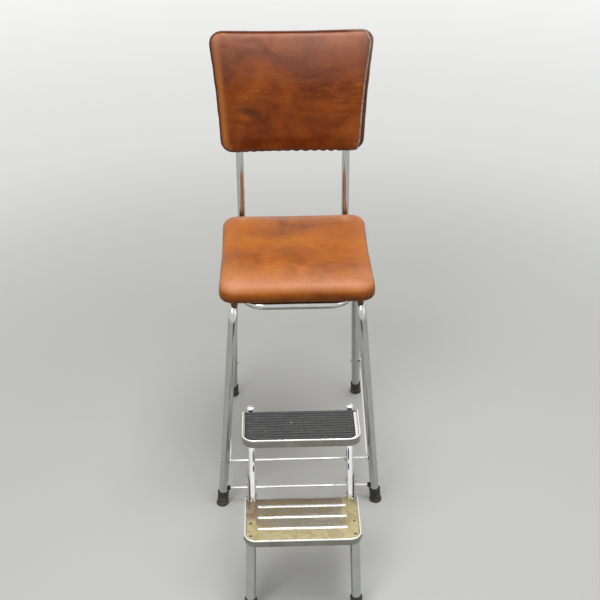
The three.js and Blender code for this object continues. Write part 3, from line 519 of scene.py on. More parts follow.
def toward(a, b, height):
    return a.lerp(b, (height / 1000 - a.z) / (b.z - a.z))


def leg_points(side):
    return (
        at(side * FRONT_FOOT, 0, 0),
        at(side * FRONT_TOP, FRONT_TOP_F, LEG_RUN),
        at(side * REAR_TOP, REAR_TOP_F, LEG_RUN),
        at(side * REAR_FOOT, REAR_FOOT_F, 0),
    )


def rubber_tip(name, foot, above, flare, height, body, node):
    """A moulded cup with a lip, two grooves and a flared foot, flat on the floor."""
    axis = (above - foot).normalized()
    r = LEG_R + TOUCH + 2.2
    waist = height * 0.55
    profile = [
        (0, -7), (r + flare, -7), (r + flare + 0.3, 1.5), (r + flare + 0.2, 4.5), (r + flare * 0.5, 7.5),
        (r - 0.5, 9.0), (r + 0.1, 10.2), (r, waist), (r - 0.5, waist + 0.9), (r, waist + 1.8),
        (r - 0.15, height - 4.5), (r + 0.45, height - 3.4), (r + 0.45, height - 1.2), (r - 0.2, height - 0.3),
        (LEG_R + 1.2, height), (LEG_R + 0.15, height - 0.8), (LEG_R + 0.1, height - 3.0),
    ]
    shell = Shell().lathe(profile, foot, axis, 40)
    shell.verts = [v - axis * (v.z / axis.z) if v.z < 0 else v for v in shell.verts]
    shell.piece(name, TIP_RUBBER, body, node, 50)


def build_legs():
    for name, side in SIDES:
        foot_f, top_f, top_r, foot_r = leg_points(side)
        ends = [foot + (top - foot).normalized() * TUBE_LIFT for foot, top in ((foot_f, top_f), (foot_r, top_r))]
        stations = bent([ends[0], top_f, top_r, ends[1]], [40, 40])
        Shell().pipe(stations, LEG_R, 40).piece(f"leg_tube_{name}", CHROME, "frame", f"side_frame_{name}", 60)
        rubber_tip(f"tip_front_{name}", foot_f, top_f, 1.4, 38, "frame", f"foot_front_{name}")
        rubber_tip(f"tip_rear_{name}", foot_r, top_r, 1.4, 38, "frame", f"foot_rear_{name}")


def back_post(side, rise):
    return at(side * BACK_POST_X, BACK_POST_F, RUNNER) + ALONG_BACK * rise / 1000


def runner(side, forward):
    share = (forward - RUNNER_FRONT_F) / (BACK_POST_F - RUNNER_FRONT_F)
    return at(side * (RUNNER_FRONT_X + (BACK_POST_X - RUNNER_FRONT_X) * share), forward, RUNNER)


def build_back_frame():
    left, right = (
        [back_post(side, BACK_POST_LENGTH), back_post(side, 0), runner(side, RUNNER_FRONT_F)] for _, side in SIDES
    )
    shell = Shell().pipe(bent(left + right[::-1], [28, 52, 52, 28]), BACK_R, 36)
    shell.piece("back_tube", CHROME, "frame", "back_frame", 60)
    for name, side in SIDES:
        profile = [(0, -9), (7.7, -9), (7.8, 0.3), (9.5, 0.35), (9.6, 1.0), (9.2, 1.9)] + dome(8.6, 2.0, 6, 2.0)
        plug = Shell().lathe(profile, back_post(side, BACK_POST_LENGTH), ALONG_BACK, 32)
        plug.piece(f"post_plug_{name}", PLUG, "frame", f"back_post_plug_{name}", 50)


def leg_run(side, forward):
    a, b = leg_points(side)[1:3]
    return a.lerp(b, (forward - FRONT_TOP_F) / (REAR_TOP_F - FRONT_TOP_F))


def screw(name, start, axis, shank, node):
    """A pan-headed screw; its cross recess is a separate dark inlay of painted shadow."""
    r, h = 5.0, 2.6
    profile = [
        (0, 0.0), (r - 0.2, 0.0), (r, -0.3), (r, -h * 0.45), (r * 0.93, -h * 0.72), (r * 0.74, -h * 0.93),
        (r * 0.4, -h), (0, -h),
    ]
    shell = Shell().lathe(profile, start, axis, 28)
    shell.lathe([(0, 0), (2.3, 0), (2.3, shank), (0, shank)], start, axis, 16)
    shell.piece(name, ZINC, "frame", node, 45)
    crown = start - axis * h / 1000
    u = axis.orthogonal().normalized()
    w = axis.cross(u)
    recess = Shell()
    for a, b in ((u, w), (w, u)):
        lower = [crown + (a * s * 2.5 + b * t * 0.42) / 1000 for s, t in SQUARE]
        recess.loft([lower, [spot - axis * 0.00012 for spot in lower]])
    recess.piece(name + "_recess", (SHADOW, "zinc"), "frame")


def build_screws():
    for name, side in SIDES:
        for row, *shares in SEAT_SCREW_SHARES:
            for kind, line, share, radius in zip(("leg", "runner"), (leg_run, runner), shares, (LEG_R, BACK_R)):
                start = line(side, SEAT_F + SEAT["depth"] * share) - UP * (radius + 0.1) / 1000
                screw(f"screw_{kind}_{row}_{name}", start, UP, 2 * radius + 6, f"seat_screw_{kind}_{row}_{name}")
        for row, rise in BACK_SCREW_RISES:
            start = back_post(side, rise) - OUT_OF_BACK * (BACK_R + 0.1) / 1000
            screw(f"screw_back_{row}_{name}", start, OUT_OF_BACK, 2 * BACK_R + 5, f"back_screw_{row}_{name}")


SPLAY = (FRONT_FOOT - FRONT_TOP) / LEG_RUN
FACE_REACH = LEG_R * math.hypot(1, SPLAY) + 8 * SPLAY + TOUCH
ROD_REACH = LEG_R * math.hypot(1, SPLAY) + 0.8


def build_rods():
    for level, height in (("upper", UPPER_ROD_Z), ("lower", LOWER_ROD_Z)):
        a, b = (toward(*leg_points(side)[:2], height) + X * side * ROD_REACH / 1000 for _, side in SIDES)
        # Chamfered, slightly domed ends
        length = (b - a).length * 1000
        end = [(0, -0.25), (ROD_R * 0.55, -0.15), (ROD_R * 0.86, 0.1), (ROD_R, 0.7)]
        profile = end + [(radius, length - along) for radius, along in reversed(end)]
        rod = Shell().lathe(profile, a, (b - a).normalized(), 24)
        rod.piece(f"rod_{level}", ROD_CHROME, "frame", f"{level}_cross_rod", 60)
    for name, side in SIDES:
        outer = toward(*leg_points(side)[:2], LOWER_ROD_Z) - X * side * (FACE_REACH - 1.5) / 1000
        profile = [(3.3, 0), (6.0, 0), (6.4, 0.8), (6.3, 4.6), (5.6, 6.0), (4.4, 6.6), (3.3, 6.6)]
        bush = Shell().lathe(profile, outer, X * -side, 28)
        bush.piece(f"bush_{name}", BUSH_RUBBER, "frame", f"lower_rod_bush_{name}", 50)


def build_side_rods():
    """Round stays whose ends are hammered flat into round eyes against the legs' faces."""
    for name, side in SIDES:
        foot, top, top_r, foot_r = leg_points(side)
        front = toward(foot, top, UPPER_ROD_Z) - X * side * (FACE_REACH + 1.5) / 1000
        rear = toward(foot_r, top_r, UPPER_ROD_Z) + X * side * (FACE_REACH + 1.5) / 1000
        run = (rear - front).normalized()
        length = (rear - front).length * 1000
        across = (X - run * X.dot(run)).normalized()
        tall = run.cross(across)
        spots = [-7.99, -7.8, -7.2, -6, -4, 0, 4, 6.4, 8, 10, 13, 17, 22, 28]
        spots += [length - s for s in reversed(spots)]
        rings = []
        for s in spots:
            near = min(s, length - s)
            blend = unit((near - 8) / 20)
            blend = blend * blend * (3 - 2 * blend)
            half = math.sqrt(max(64 - near * near, 0.1)) if near < 6.4 else 4.8 + (ROD_R - 4.8) * blend
            thick = 1.0 if near < -7.5 else 1.5 + (ROD_R - 1.5) * blend
            squared = 0.45 + 0.55 * blend
            ring = [[math.copysign(abs(v) ** squared, v) for v in turn] for turn in circle(28)]
            rings.append([front + (run * s + across * c * thick + tall * d * half) / 1000 for c, d in ring])
        Shell().loft(rings).piece(f"stay_{name}", ROD_CHROME, "frame", f"side_rod_{name}", 50)
        head = rear + X * side * 1.8 / 1000
        grip = 3 + 2 * FACE_REACH + 0.3
        hex_bolt(f"stay_bolt_{name}", head, X * -side, grip, f"side_rod_bolt_{name}", "frame")


def hex_bolt(name, start, axis, grip, node, body):
    """A six-sided head with a chamfered crown, a washer face and a nut on the far end."""
    head, height, nut = 4.6, 3.0, 4.2
    shell = Shell()
    for sides, profile in (
        (28, [(0, 0), (head * 0.98, 0), (head * 0.98, -0.5), (0, -0.5)]),
        (6, [(0, -0.5), (head, -0.5), (head, -height * 0.8), (head * 0.86, -height), (0, -height)]),
        (16, [(0, 0), (2.3, 0), (2.3, grip + 1.6), (1.9, grip + 2.0), (0, grip + 2.0)]),
        (6, [(0, grip + 0.1), (nut, grip + 0.1), (nut, grip + 1.1), (nut * 0.86, grip + 1.5), (0, grip + 1.5)]),
    ):
        shell.lathe(profile, start, axis, sides)
    shell.piece(name, ZINC, body, node, 25)


# Treads

def tread_rail(spec):
    """Stations round the sides and front, from the rear left to the rear right: (x, forward, outward)."""
    half, radius = TREAD_W / 2, TREAD_CORNER
    front = spec["back"] + spec["depth"]
    straight = front - radius - spec["back"]

    def corner(middle, start):
        for k in range(15):
            a = start - math.pi / 2 * k / 14
            c, s = math.cos(a), math.sin(a)
            yield middle + radius * c, front - radius + radius * s, (c, s)

    return [
        *((-half, spec["back"] + straight * k / 6, (-1, 0)) for k in range(6)),
        *corner(-half + radius, math.pi),
        *((-half + radius + (2 * half - 2 * radius) * k / 10, front, (0, 1)) for k in range(1, 10)),
        *corner(half - radius, math.pi / 2),
        *((half, front - radius - straight * k / 6, (1, 0)) for k in range(1, 7)),
    ]


def half_width(spec, forward, inset):
    """Half of the deck's width at a distance forward."""
    half = TREAD_W / 2 - inset
    radius = TREAD_CORNER - inset
    into = forward - (spec["back"] + spec["depth"] - inset - radius)
    if into <= 0:
        return half
    return half - radius + math.sqrt(max(radius * radius - into * into, 0.0))


def tread_rim(name, spec, finish, node):
    """The rolled rim and apron: one pressed section swept round three sides, and the rear apron."""
    top, low, deck = spec["top"], spec["top"] - spec["apron"], spec["top"] - RIM_H
    section = [
        (5.2, deck - 1.3), (1.9, deck - 1.5), (1.35, deck - 2.4), (1.3, low + 1.2), (1.15, low + 0.25),
        (0.65, low), (0.15, low + 0.25), (0.0, low + 0.9), (0.0, top - 2.6), (0.12, top - 1.7),
        (0.5, top - 0.85), (1.15, top - 0.22), (1.95, top), (2.75, top - 0.22), (3.4, top - 0.85),
        (3.8, top - 1.7), (4.1, deck + 0.35), (4.55, deck + 0.05), (5.2, deck),
    ]
    shell = Shell().loft([
        [at(x - nx * inset, forward - nf * inset, z) for inset, z in section]
        for x, forward, (nx, nf) in tread_rail(spec)
    ])
    # The rear apron, folded down from the deck
    fold = [
        (0.6, deck), (0.18, deck - 0.25), (0, deck - 0.9), (0, low + 0.6), (0.6, low), (1.3, low + 0.6),
        (1.3, deck - 1.6), (2.2, deck - 1.35), (5, deck - 1.3), (5, deck),
    ]
    end = TREAD_W / 2 - 0.4
    shell.loft([[at(x, spec["back"] + inset, z) for inset, z in fold] for x in (-end, -60, 0, 60, end)])
    shell.piece(name, finish, "step_unit", node, 40)


def deck_grid(spec, height, columns, rows, inset=4.4, rear=0.6):
    """A grid over the deck inside its rim; height(x, forward) is in millimetres."""
    last = spec["back"] + spec["depth"] - inset
    out = []
    for r in range(rows + 1):
        forward = spec["back"] + rear + (last - spec["back"] - rear) * (r / rows)
        half = half_width(spec, min(forward, last - 0.02), inset)
        xs = (half * (2 * c / columns - 1) for c in range(columns + 1))
        out.append([at(x, forward, height(x, forward)) for x in xs])
    return Shell().grid(out)


def build_upper_tread():
    tread_rim("upper_tread_pan", UPPER, UPPER_STEEL, "upper_tread")
    deck = UPPER["top"] - RIM_H
    deck_grid(UPPER, lambda x, f: deck, 30, 24).piece("upper_deck", UPPER_DECK, "step_unit")
    under = deck_grid(UPPER, lambda x, f: deck - 1.3, 30, 24, 2.0, 1.4)
    under.piece("upper_deck_under", UNDER_STEEL, "step_unit")
    build_mat(deck)


def build_mat(deck):
    """The ribbed mat, laid a little to the left of the middle."""
    ribs, base, tall = 11, 1.4, 1.5
    front_edge = UPPER["back"] + UPPER["depth"]
    rear, front = UPPER["back"] + 0.4, front_edge - TREAD_RIM - 2
    pitch = (front - rear) / ribs
    shift, steps, columns = -2.6, 10, 72
    inset = TREAD_RIM + 4.6
    rows, ridge = [], []
    for forward in (rear + pitch * k / steps for k in range(ribs * steps + 1)):
        phase = ((forward - rear) / pitch) % 1.0
        lift = max(0.0, math.cos((phase - 0.5) * 2 * math.pi) * 0.5 + 0.5) ** 0.55
        half = min(half_width(UPPER, min(forward, front_edge - 6.2), inset - 2.4), TREAD_W / 2 - inset)
        line, marks = [], []
        for c in range(columns + 1):
            x = half * (2 * c / columns - 1)
            wobble = 0.12 * noise.noise(Vector((x * 0.03, forward * 0.05, 3.0)))
            end = min((half - abs(x)) / 1.6, 1.0)
            z = deck + TOUCH + (base + (tall + wobble) * lift * end) * (0.35 + 0.65 * min(end * 3, 1))
            worn = min((front_edge - forward) / 12, 1.0)
            line.append(at(x + shift, forward, z))
            marks.append(lift * end * (0.75 + 0.25 * worn))
        rows.append(line)
        ridge.append(marks)

    # Skirts down to the deck on every side
    def skirt(v):
        return Vector((v.x, v.y, at(0, 0, deck + 0.15).z))

    full = [[skirt(v) for v in rows[0]], *rows, [skirt(v) for v in rows[-1]]]
    full = [[skirt(row[0]), *row, skirt(row[-1])] for row in full]
    flat = [0.0] * (columns + 1)
    ridge = [m for line in (flat, *ridge, flat) for m in (0.0, *line, 0.0)]
    Shell().grid(full).piece("ribbed_mat", MAT_RUBBER, "step_unit", "upper_mat", 60, ridge=ridge)


def build_lower_tread():
    tread_rim("lower_tread_pan", LOWER, LOWER_STEEL, "lower_tread")
    deck = LOWER["top"] - RIM_H
    beads = [LOWER["back"] + LOWER["depth"] * share for share in BEAD_SHARES]
    half_bead, proud, half_length = 5.0, 2.2, 101.0

    def bead(x, forward):
        best = 0.0
        for middle in beads:
            over = max(abs(x) - (half_length - half_bead), 0.0)
            reach = math.hypot(forward - middle, over) / half_bead
            if reach < 1:
                best = max(best, (0.5 + 0.5 * math.cos(math.pi * reach)) ** 0.7)
        return best

    def height(x, forward):
        dent = 0.35 * noise.noise(Vector((x * 0.012, forward * 0.02, 1.0)))
        return deck + proud * bead(x, forward) + min(dent, 0.12) * min((TREAD_W / 2 - 6 - abs(x)) / 25, 1)

    under = deck_grid(LOWER, lambda x, f: deck - 1.3 + proud * 0.8 * bead(x, f), 60, 60, 2.0, 1.4)
    under.piece("lower_deck_under", UNDER_STEEL, "step_unit")
    shell = deck_grid(LOWER, height, 150, 132)
    # Painted highlight on the beads' crowns
    marks = [unit((bead(v.x * 1000, forward_of(v)) - 0.22) / 0.25) for v in shell.verts]
    shell.piece("lower_deck", DECK, "step_unit", bead=marks)
    # Where the mat's studs went through: a dark disc of painted shadow for each hole, with a raised burr
    hole_shadows, burrs = Shell(), Shell()
    for _, side in SIDES:
        for share in STUD_SHARES:
            spot = at(side * (TREAD_W / 2 - 14), LOWER["back"] + LOWER["depth"] * share, deck)
            hole_shadows.lathe([(0, 0.05), (2.5, 0.05), (2.5, 0.34), (0, 0.34)], spot, UP, 20)
            burrs.lathe([(2.4, 0.0), (2.4, 0.45), (2.7, 0.5), (3.3, 0.12), (3.3, 0.0)], spot, UP, 20)
    hole_shadows.piece("stud_hole_shadows", (SHADOW, "pressed_steel"), "step_unit")
    burrs.piece("stud_burrs", ZINC, "step_unit", sharp=40)


# Step unit

def post_corners(side):
    places = (
        (POST_FOOT_F, LOWER["top"] - 17), (POST_FOOT_F, LOWER["top"] + 10),
        (POST_HEAD_F, UPPER["top"] - 32), (POST_HEAD_F, UPPER["top"] + 3),
    )
    return [at(side * POST_X, forward, height) for forward, height in places]


def post_at(side, height):
    return toward(*post_corners(side)[1:3], height)


def rivet(name, start, axis, grip, node):
    head = [(0, 0), (4.4, 0), (4.35, -0.35)] + dome(4.3, -1.45, 6, -0.35)[1:]
    tail = [(3.3, grip + 0.4), (3.0, grip + 1.0), (1.6, grip + 1.2), (0, grip + 0.7)]
    shell = Shell().lathe(head, start, axis, 24)
    shell.lathe([(0, 0), (2.15, 0), (2.15, grip + 0.3), *tail], start, axis, 20)
    shell.piece(name, ZINC, "step_unit", node, 45)


def build_step_legs():
    for name, side in SIDES:
        foot = at(side * STEP_LEG_FOOT, STEP_LEG_FOOT_F, 0)
        top = at(side * STEP_LEG_TOP, STEP_LEG_TOP_F, LOWER["top"] - RIM_H)
        axis = (top - foot).normalized()
        low_edge = LEG_R * math.hypot(axis.x, axis.y)
        end = top - axis * (TREAD_WALL + 0.5 + low_edge) / 1000
        stations = [(spot, axis, 0) for spot in (foot + axis * TUBE_LIFT, foot.lerp(end, 0.5), end)]
        tube = Shell().pipe(stations, LEG_R, 40)
        tube.piece(f"step_tube_{name}", CHROME, "step_unit", f"step_leg_{name}", 60)
        rubber_tip(f"step_tip_{name}", foot, top, 1.2, 34, "step_unit", f"step_foot_{name}")
        middle = toward(foot, top, LOWER["top"] - LOWER["apron"] / 2 - TREAD_WALL)
        head = Vector((side * (TREAD_W / 2 + 0.1) / 1000, middle.y, middle.z))
        grip = abs(head.x) * 1000 - (abs(middle.x) * 1000 - LEG_R - 1.6)
        rivet(f"rivet_leg_{name}", head, X * -side, grip, f"step_leg_rivet_{name}")


def build_posts():
    for name, side in SIDES:
        corners = post_corners(side)
        cap = [(0, -1.3), (8.2, -1.3), (8.45, -0.5), (8.4, 0.3)] + dome(8.3, 4.6, 8, 0.4)[1:]
        shell = Shell().pipe(bent(corners, [30, 30]), POST_R, 32).lathe(cap, corners[3], UP, 32)
        shell.piece(f"post_tube_{name}", POST_CHROME, "step_unit", f"step_post_{name}", 60)
        # The tube's open seam faces inwards and forwards, in two lengths between pinches: a dark inlay of painted
        # shadow
        axis = (corners[2] - corners[1]).normalized()
        facing = Vector((-side * 0.36, -0.93, 0)).normalized()
        facing = (facing - axis * facing.dot(axis)).normalized()
        across = axis.cross(facing)
        seam = Shell()
        for low, high in ((286, 310), (266, 279)):
            rings = []
            for share in (k / 8 for k in range(9)):
                centre = post_at(side, low + (high - low) * share)
                half = 1.35 * math.sin(math.pi * min(max(share, 0.06), 0.94)) ** 0.3
                rings.append([
                    centre + (facing * (POST_R + lift) + across * s * half) / 1000
                    for s, lift in ((-1, -0.9), (1, -0.9), (1, 0.22), (-1, 0.22))
                ])
            seam.loft(rings)
        seam.piece(f"post_seam_{name}", (SHADOW, "chrome"), "step_unit")
        grip = 2 * POST_R + TREAD_WALL + 0.6
        upper = at(side * POST_X, POST_HEAD_F - POST_R - 0.1, UPPER["top"] - UPPER["apron"] / 2)
        lower = at(side * POST_X, LOWER["back"] - 0.1, LOWER["top"] - LOWER["apron"] / 2 - TREAD_WALL)
        rivet(f"rivet_upper_{name}", upper, FORWARD, grip, f"upper_tread_rivet_{name}")
        rivet(f"rivet_lower_{name}", lower, FORWARD, grip, f"lower_tread_rivet_{name}")


def arm_outline():
    """The arm's edge in (forward, height), from the posts round the eye on the rod, and the eye's middle."""
    high_z = ARM_LOW + ARM_SPAN
    low, high = (forward_of(post_at(1, z)) for z in (ARM_LOW, high_z))
    eye = (forward_of(toward(*leg_points(1)[:2], UPPER_ROD_Z)), UPPER_ROD_Z)
    low_tip, high_tip, high_back = (low + 9, ARM_LOW), (high + 7, high_z), (high - 9, high_z)
    a = math.atan2(low_tip[1] - eye[1], low_tip[0] - eye[0]) - math.pi / 2
    b = math.atan2(high_back[1] - eye[1], high_back[0] - eye[0]) + math.pi / 2
    sweep = 2 * math.pi - (b - a)
    turns = (b + sweep * k / 24 for k in range(25))
    ring = [(eye[0] + ARM_EYE * math.cos(t), eye[1] + ARM_EYE * math.sin(t)) for t in turns]
    return [low_tip, high_tip, high_back] + ring, eye


def build_arms():
    outline, eye = arm_outline()
    inner = POST_X + POST_R + TOUCH
    for name, side in SIDES:
        faces = (side * inner, side * (inner + ARM_THICK))
        shell = Shell().loft([[at(x, f, z) for f, z in outline] for x in faces])
        arm = shell.piece(f"arm_{name}", ARM_ZINC, "step_unit", f"pivot_arm_{name}")
        bm = bmesh.new()
        bm.from_mesh(arm.data)
        bmesh.ops.recalc_face_normals(bm, faces=bm.faces)
        bm.to_mesh(arm.data)
        bm.free()
        edge = arm.modifiers.new("edge", "BEVEL")
        edge.width = 0.7 / 1000
        edge.segments = 2
        edge.limit_method = "ANGLE"
        edge.angle_limit = math.radians(25)
        edge.harden_normals = False
        arm.data.set_sharp_from_angle(angle=math.radians(30))
        grip = ARM_THICK + 2 * POST_R + 0.7
        for row, share in (("lower", 0.1875), ("upper", 0.75)):
            middle = post_at(side, ARM_LOW + ARM_SPAN * share)
            head = Vector((side * (inner + 3.1) / 1000, middle.y, middle.z))
            hex_bolt(f"bolt_{row}_{name}", head, X * -side, grip, f"arm_bolt_{row}_{name}", "step_unit")
        ring = [(3.4, 0), (6.6, 0), (7.0, 0.4), (7.0, 3.6), (6.6, 4.0), (3.4, 4.0)]
        collar = Shell().lathe(ring, at(side * (inner - TOUCH), *eye), X * -side, 28)
        collar.piece(f"collar_{name}", ZINC, "frame", f"rod_collar_{name}", 40)


# Cushions

def half_span(c, y):
    """Half of the cushion's width at y in its own plane."""
    return (c["width"] - c["narrow"] * (0.5 + c["sense"] * y / c["depth"])) / 2


def cushion_outline(c, offset, scale=1.0, arc=9, run=14):
    """The cushion's edge in its own plane, like the part's: rounded corners, sides drawn in between them."""
    half_d, radius = c["depth"] / 2, c["corner"]
    reach = radius + offset
    corners = []
    for quarter, (sx, sy) in enumerate(((1, 1), (-1, 1), (-1, -1), (1, -1))):
        corners.append((sx * (half_span(c, sy * half_d) - radius), sy * (half_d - radius), quarter * math.pi / 2))
    points = []
    for i, (cx, cy, start) in enumerate(corners):
        turns = (start + math.pi / 2 * k / arc for k in range(arc + 1))
        points += [(cx + reach * math.cos(t), cy + reach * math.sin(t)) for t in turns]
        x, y = points[-1]
        nx, ny, _ = corners[(i + 1) % 4]
        c_out, s_out = math.cos(start + math.pi / 2), math.sin(start + math.pi / 2)
        for s in (k / run for k in range(1, run)):
            pull = c["draw"] * math.sin(math.pi * s)
            far_x, far_y = nx + reach * c_out, ny + reach * s_out
            points.append((x + (far_x - x) * s - pull * c_out, y + (far_y - y) * s - pull * s_out))
    return [(x * scale, y * scale) for x, y in points]


def cushion_shell(c, shrink):
    """The closed form that is blown up: wrapped under the board, rolled edges, crowned face."""
    crown, roll, lip, under = c["crown"] * c["flat"], c["roll"], c["lip"], c["board"] + 0.3
    top = c["board"] + c["thick"] - crown - shrink
    belly = (lip + roll + top) / 2
    rings = [(0.3 - c["inset"], under, 1), (0.3 - c["inset"], lip, 1), (-roll * 0.75, lip, 1)]
    turns = [math.pi / 2 * k / 5 for k in range(6)]
    for a in turns[1:]:
        rings.append((-roll * 0.75 * (1 - math.sin(a)) - shrink, lip + roll * (1 - math.cos(a)), 1))
    rings.append((lip / 2 - shrink, belly, 1))
    for a in turns:
        rings.append((-roll * (1 - math.cos(a)) - shrink, top - roll * (1 - math.sin(a)), 1))
    for share in (0.95, 0.88, 0.78, 0.66, 0.52, 0.36, 0.18):
        rings.append((-roll - shrink, top + crown * (1 - share * share), share))
    loops = [
        [Vector((x, y, z)) / 1000 for x, y in cushion_outline(c, offset, scale)] for offset, z, scale in rings
    ]
    count = len(loops[0])
    shell = Shell().loft(loops, caps=False)
    for height, loop in ((under, 0), (top + crown, len(loops) - 1)):
        hub = len(shell.verts)
        shell.verts.append(Vector((0, 0, height)) / 1000)
        for k in range(count):
            a, b = loop * count + k, loop * count + (k + 1) % count
            shell.faces.append((hub, a, b) if loop else (hub, b, a))
    return shell


def apply_modifier(obj, kind, **values):
    mod = obj.modifiers.new("shape", kind)
    for key, value in values.items():
        setattr(mod, key, value)
    bpy.ops.object.modifier_apply(modifier=mod.name)


def inflate(name, c):
    """Blows the cushion up with cloth, held where it is stapled to its board, and limits how far it moves."""
    obj = add_object(name, cushion_shell(c, 2.2))
    bpy.context.view_layer.objects.active = obj
    obj.select_set(True)
    apply_modifier(obj, "REMESH", mode="VOXEL", voxel_size=0.005)
    start = [v.co.copy() for v in obj.data.vertices]
    held = obj.vertex_groups.new(name="stapled")
    low, board = c["lip"] + 2.5, c["board"] + 2
    heights = [v.z * 1000 for v in start]
    stapled = [i for i, z in enumerate(heights) if z < low or (z < board and inside(c, start[i]))]
    held.add(stapled, 1.0, "REPLACE")
    cloth = obj.modifiers.new("swell", "CLOTH")
    settings = cloth.settings
    settings.use_pressure = True
    settings.uniform_pressure_force = 4.0
    settings.effector_weights.gravity = 0
    settings.quality = 6
    settings.mass = 0.25
    settings.tension_stiffness = settings.compression_stiffness = 18
    settings.shear_stiffness = 8
    settings.bending_stiffness = 3
    settings.vertex_group_mass = held.name
    cloth.collision_settings.use_collision = False
    cloth.point_cache.frame_start, cloth.point_cache.frame_end = 1, 20
    for number in range(1, 21):
        bpy.context.scene.frame_set(number)
    bpy.ops.object.modifier_apply(modifier=cloth.name)
    bpy.context.scene.frame_set(1)
    settle_swelling(obj, start, c["cap"])
    obj.vertex_groups.clear()
    soften(obj, c, 9)
    apply_modifier(obj, "SUBSURF", levels=1, render_levels=1)
    obj.select_set(False)
    return obj


def points_of(mesh):
    spots = np.empty(len(mesh.vertices) * 3)
    mesh.vertices.foreach_get("co", spots)
    return spots.reshape(-1, 3)


def move_points(mesh, spots):
    mesh.vertices.foreach_set("co", spots.ravel())
    mesh.update()


def neighbour_mean(mesh):
    """A call that gives, for a value on each point, a share of the mean of its neighbours' values."""
    edges = np.empty(len(mesh.edges) * 2, dtype=np.int64)
    mesh.edges.foreach_get("vertices", edges)
    a, b = edges.reshape(-1, 2).T
    count = len(mesh.vertices)
    degree = np.bincount(a, minlength=count) + np.bincount(b, minlength=count)

    def mean(values, share=1.0):
        total = np.zeros_like(values)
        np.add.at(total, a, values[b])
        np.add.at(total, b, values[a])
        return share * total / degree[:, None]

    return mean


def settle_swelling(obj, start, cap):
    """Keeps the broad swelling and a little of the fine wrinkling, as firm foam does, and limits both."""
    home = np.array([tuple(v) for v in start])
    move = points_of(obj.data) - home
    mean = neighbour_mean(obj.data)
    broad = move.copy()
    for _ in range(40):
        broad = 0.4 * broad + mean(broad, 0.6)
    move = broad + 0.16 * (move - broad)
    move_points(obj.data, home)
    out = np.array([tuple(v.normal) for v in obj.data.vertices])
    inward = np.minimum((move * out).sum(axis=1) + 0.0006, 0)
    move -= out * inward[:, None]
    length = np.linalg.norm(move, axis=1)
    move *= np.minimum(1.0, cap / 1000 / np.maximum(length, 1e-9))[:, None]
    move_points(obj.data, home + move)


def soften(obj, c, rounds):
    """Rounds the rolled edges off, as foam does under a tight cover, and brings the plan back to its size."""
    spots = points_of(obj.data)
    mean = neighbour_mean(obj.data)
    upper = np.clip((spots[:, 2] * 1000 - 10) / 16, 0, 1)[:, None]
    front = upper * np.clip((-spots[:, 1:2] * 1000 - c["depth"] / 2 + 50) / 30, 0, 1)
    for number in range(rounds + c["front_rounds"]):
        spots += 0.5 * (upper if number < rounds else front) * (mean(spots) - spots)
    for axis, size in enumerate((c["width"], c["depth"])):
        low, high = spots[:, axis].min(), spots[:, axis].max()
        spots[:, axis] = (spots[:, axis] - (low + high) / 2) * (size / 1000 / (high - low))
    spots[:, 2] *= 1 + ((c["board"] + c["thick"] + 1.0) / 1000 / spots[:, 2].max() - 1) * upper[:, 0]
    move_points(obj.data, spots)


def inside(c, v):
    """Whether a point lies over the board, away from the cushion's edge."""
    return all(abs(v[i] * 1000) < c[key] / 2 - c["inset"] - 4 for i, key in enumerate(("width", "depth")))


def edge_reach(c, x, y):
    """How far (x, y) lies inside the cushion's edge, in millimetres."""
    r = c["corner"]
    dx, dy = abs(x) - (half_span(c, y) - r), abs(y) - (c["depth"] / 2 - r)
    if dx > 0 and dy > 0:
        return r - math.hypot(dx, dy)
    return r - max(dx, dy)


def keep_in_box(c, spot):
    """Brings a point back, so that the cushion keeps its box."""
    x, y, z = (value * 1000 for value in spot)
    over = -c["side_slack"] - edge_reach(c, x, y)
    if over > 0:
        length = math.hypot(x, y)
        x, y = x * (1 - over / length), y * (1 - over / length)
    return Vector((x, y, min(z, c["board"] + c["thick"] + c["top_slack"]))) / 1000


def wrinkle(x, y, z, seed):
    return noise.noise(Vector((x, y, z)) + Vector((seed, seed * 1.7, seed * 0.3)))


def blot(x, y, at_x, at_y, wide, tall):
    """A soft-edged patch, 1 at its middle."""
    return math.exp(-((x - at_x) / wide) ** 2 - ((y - at_y) / tall) ** 2)


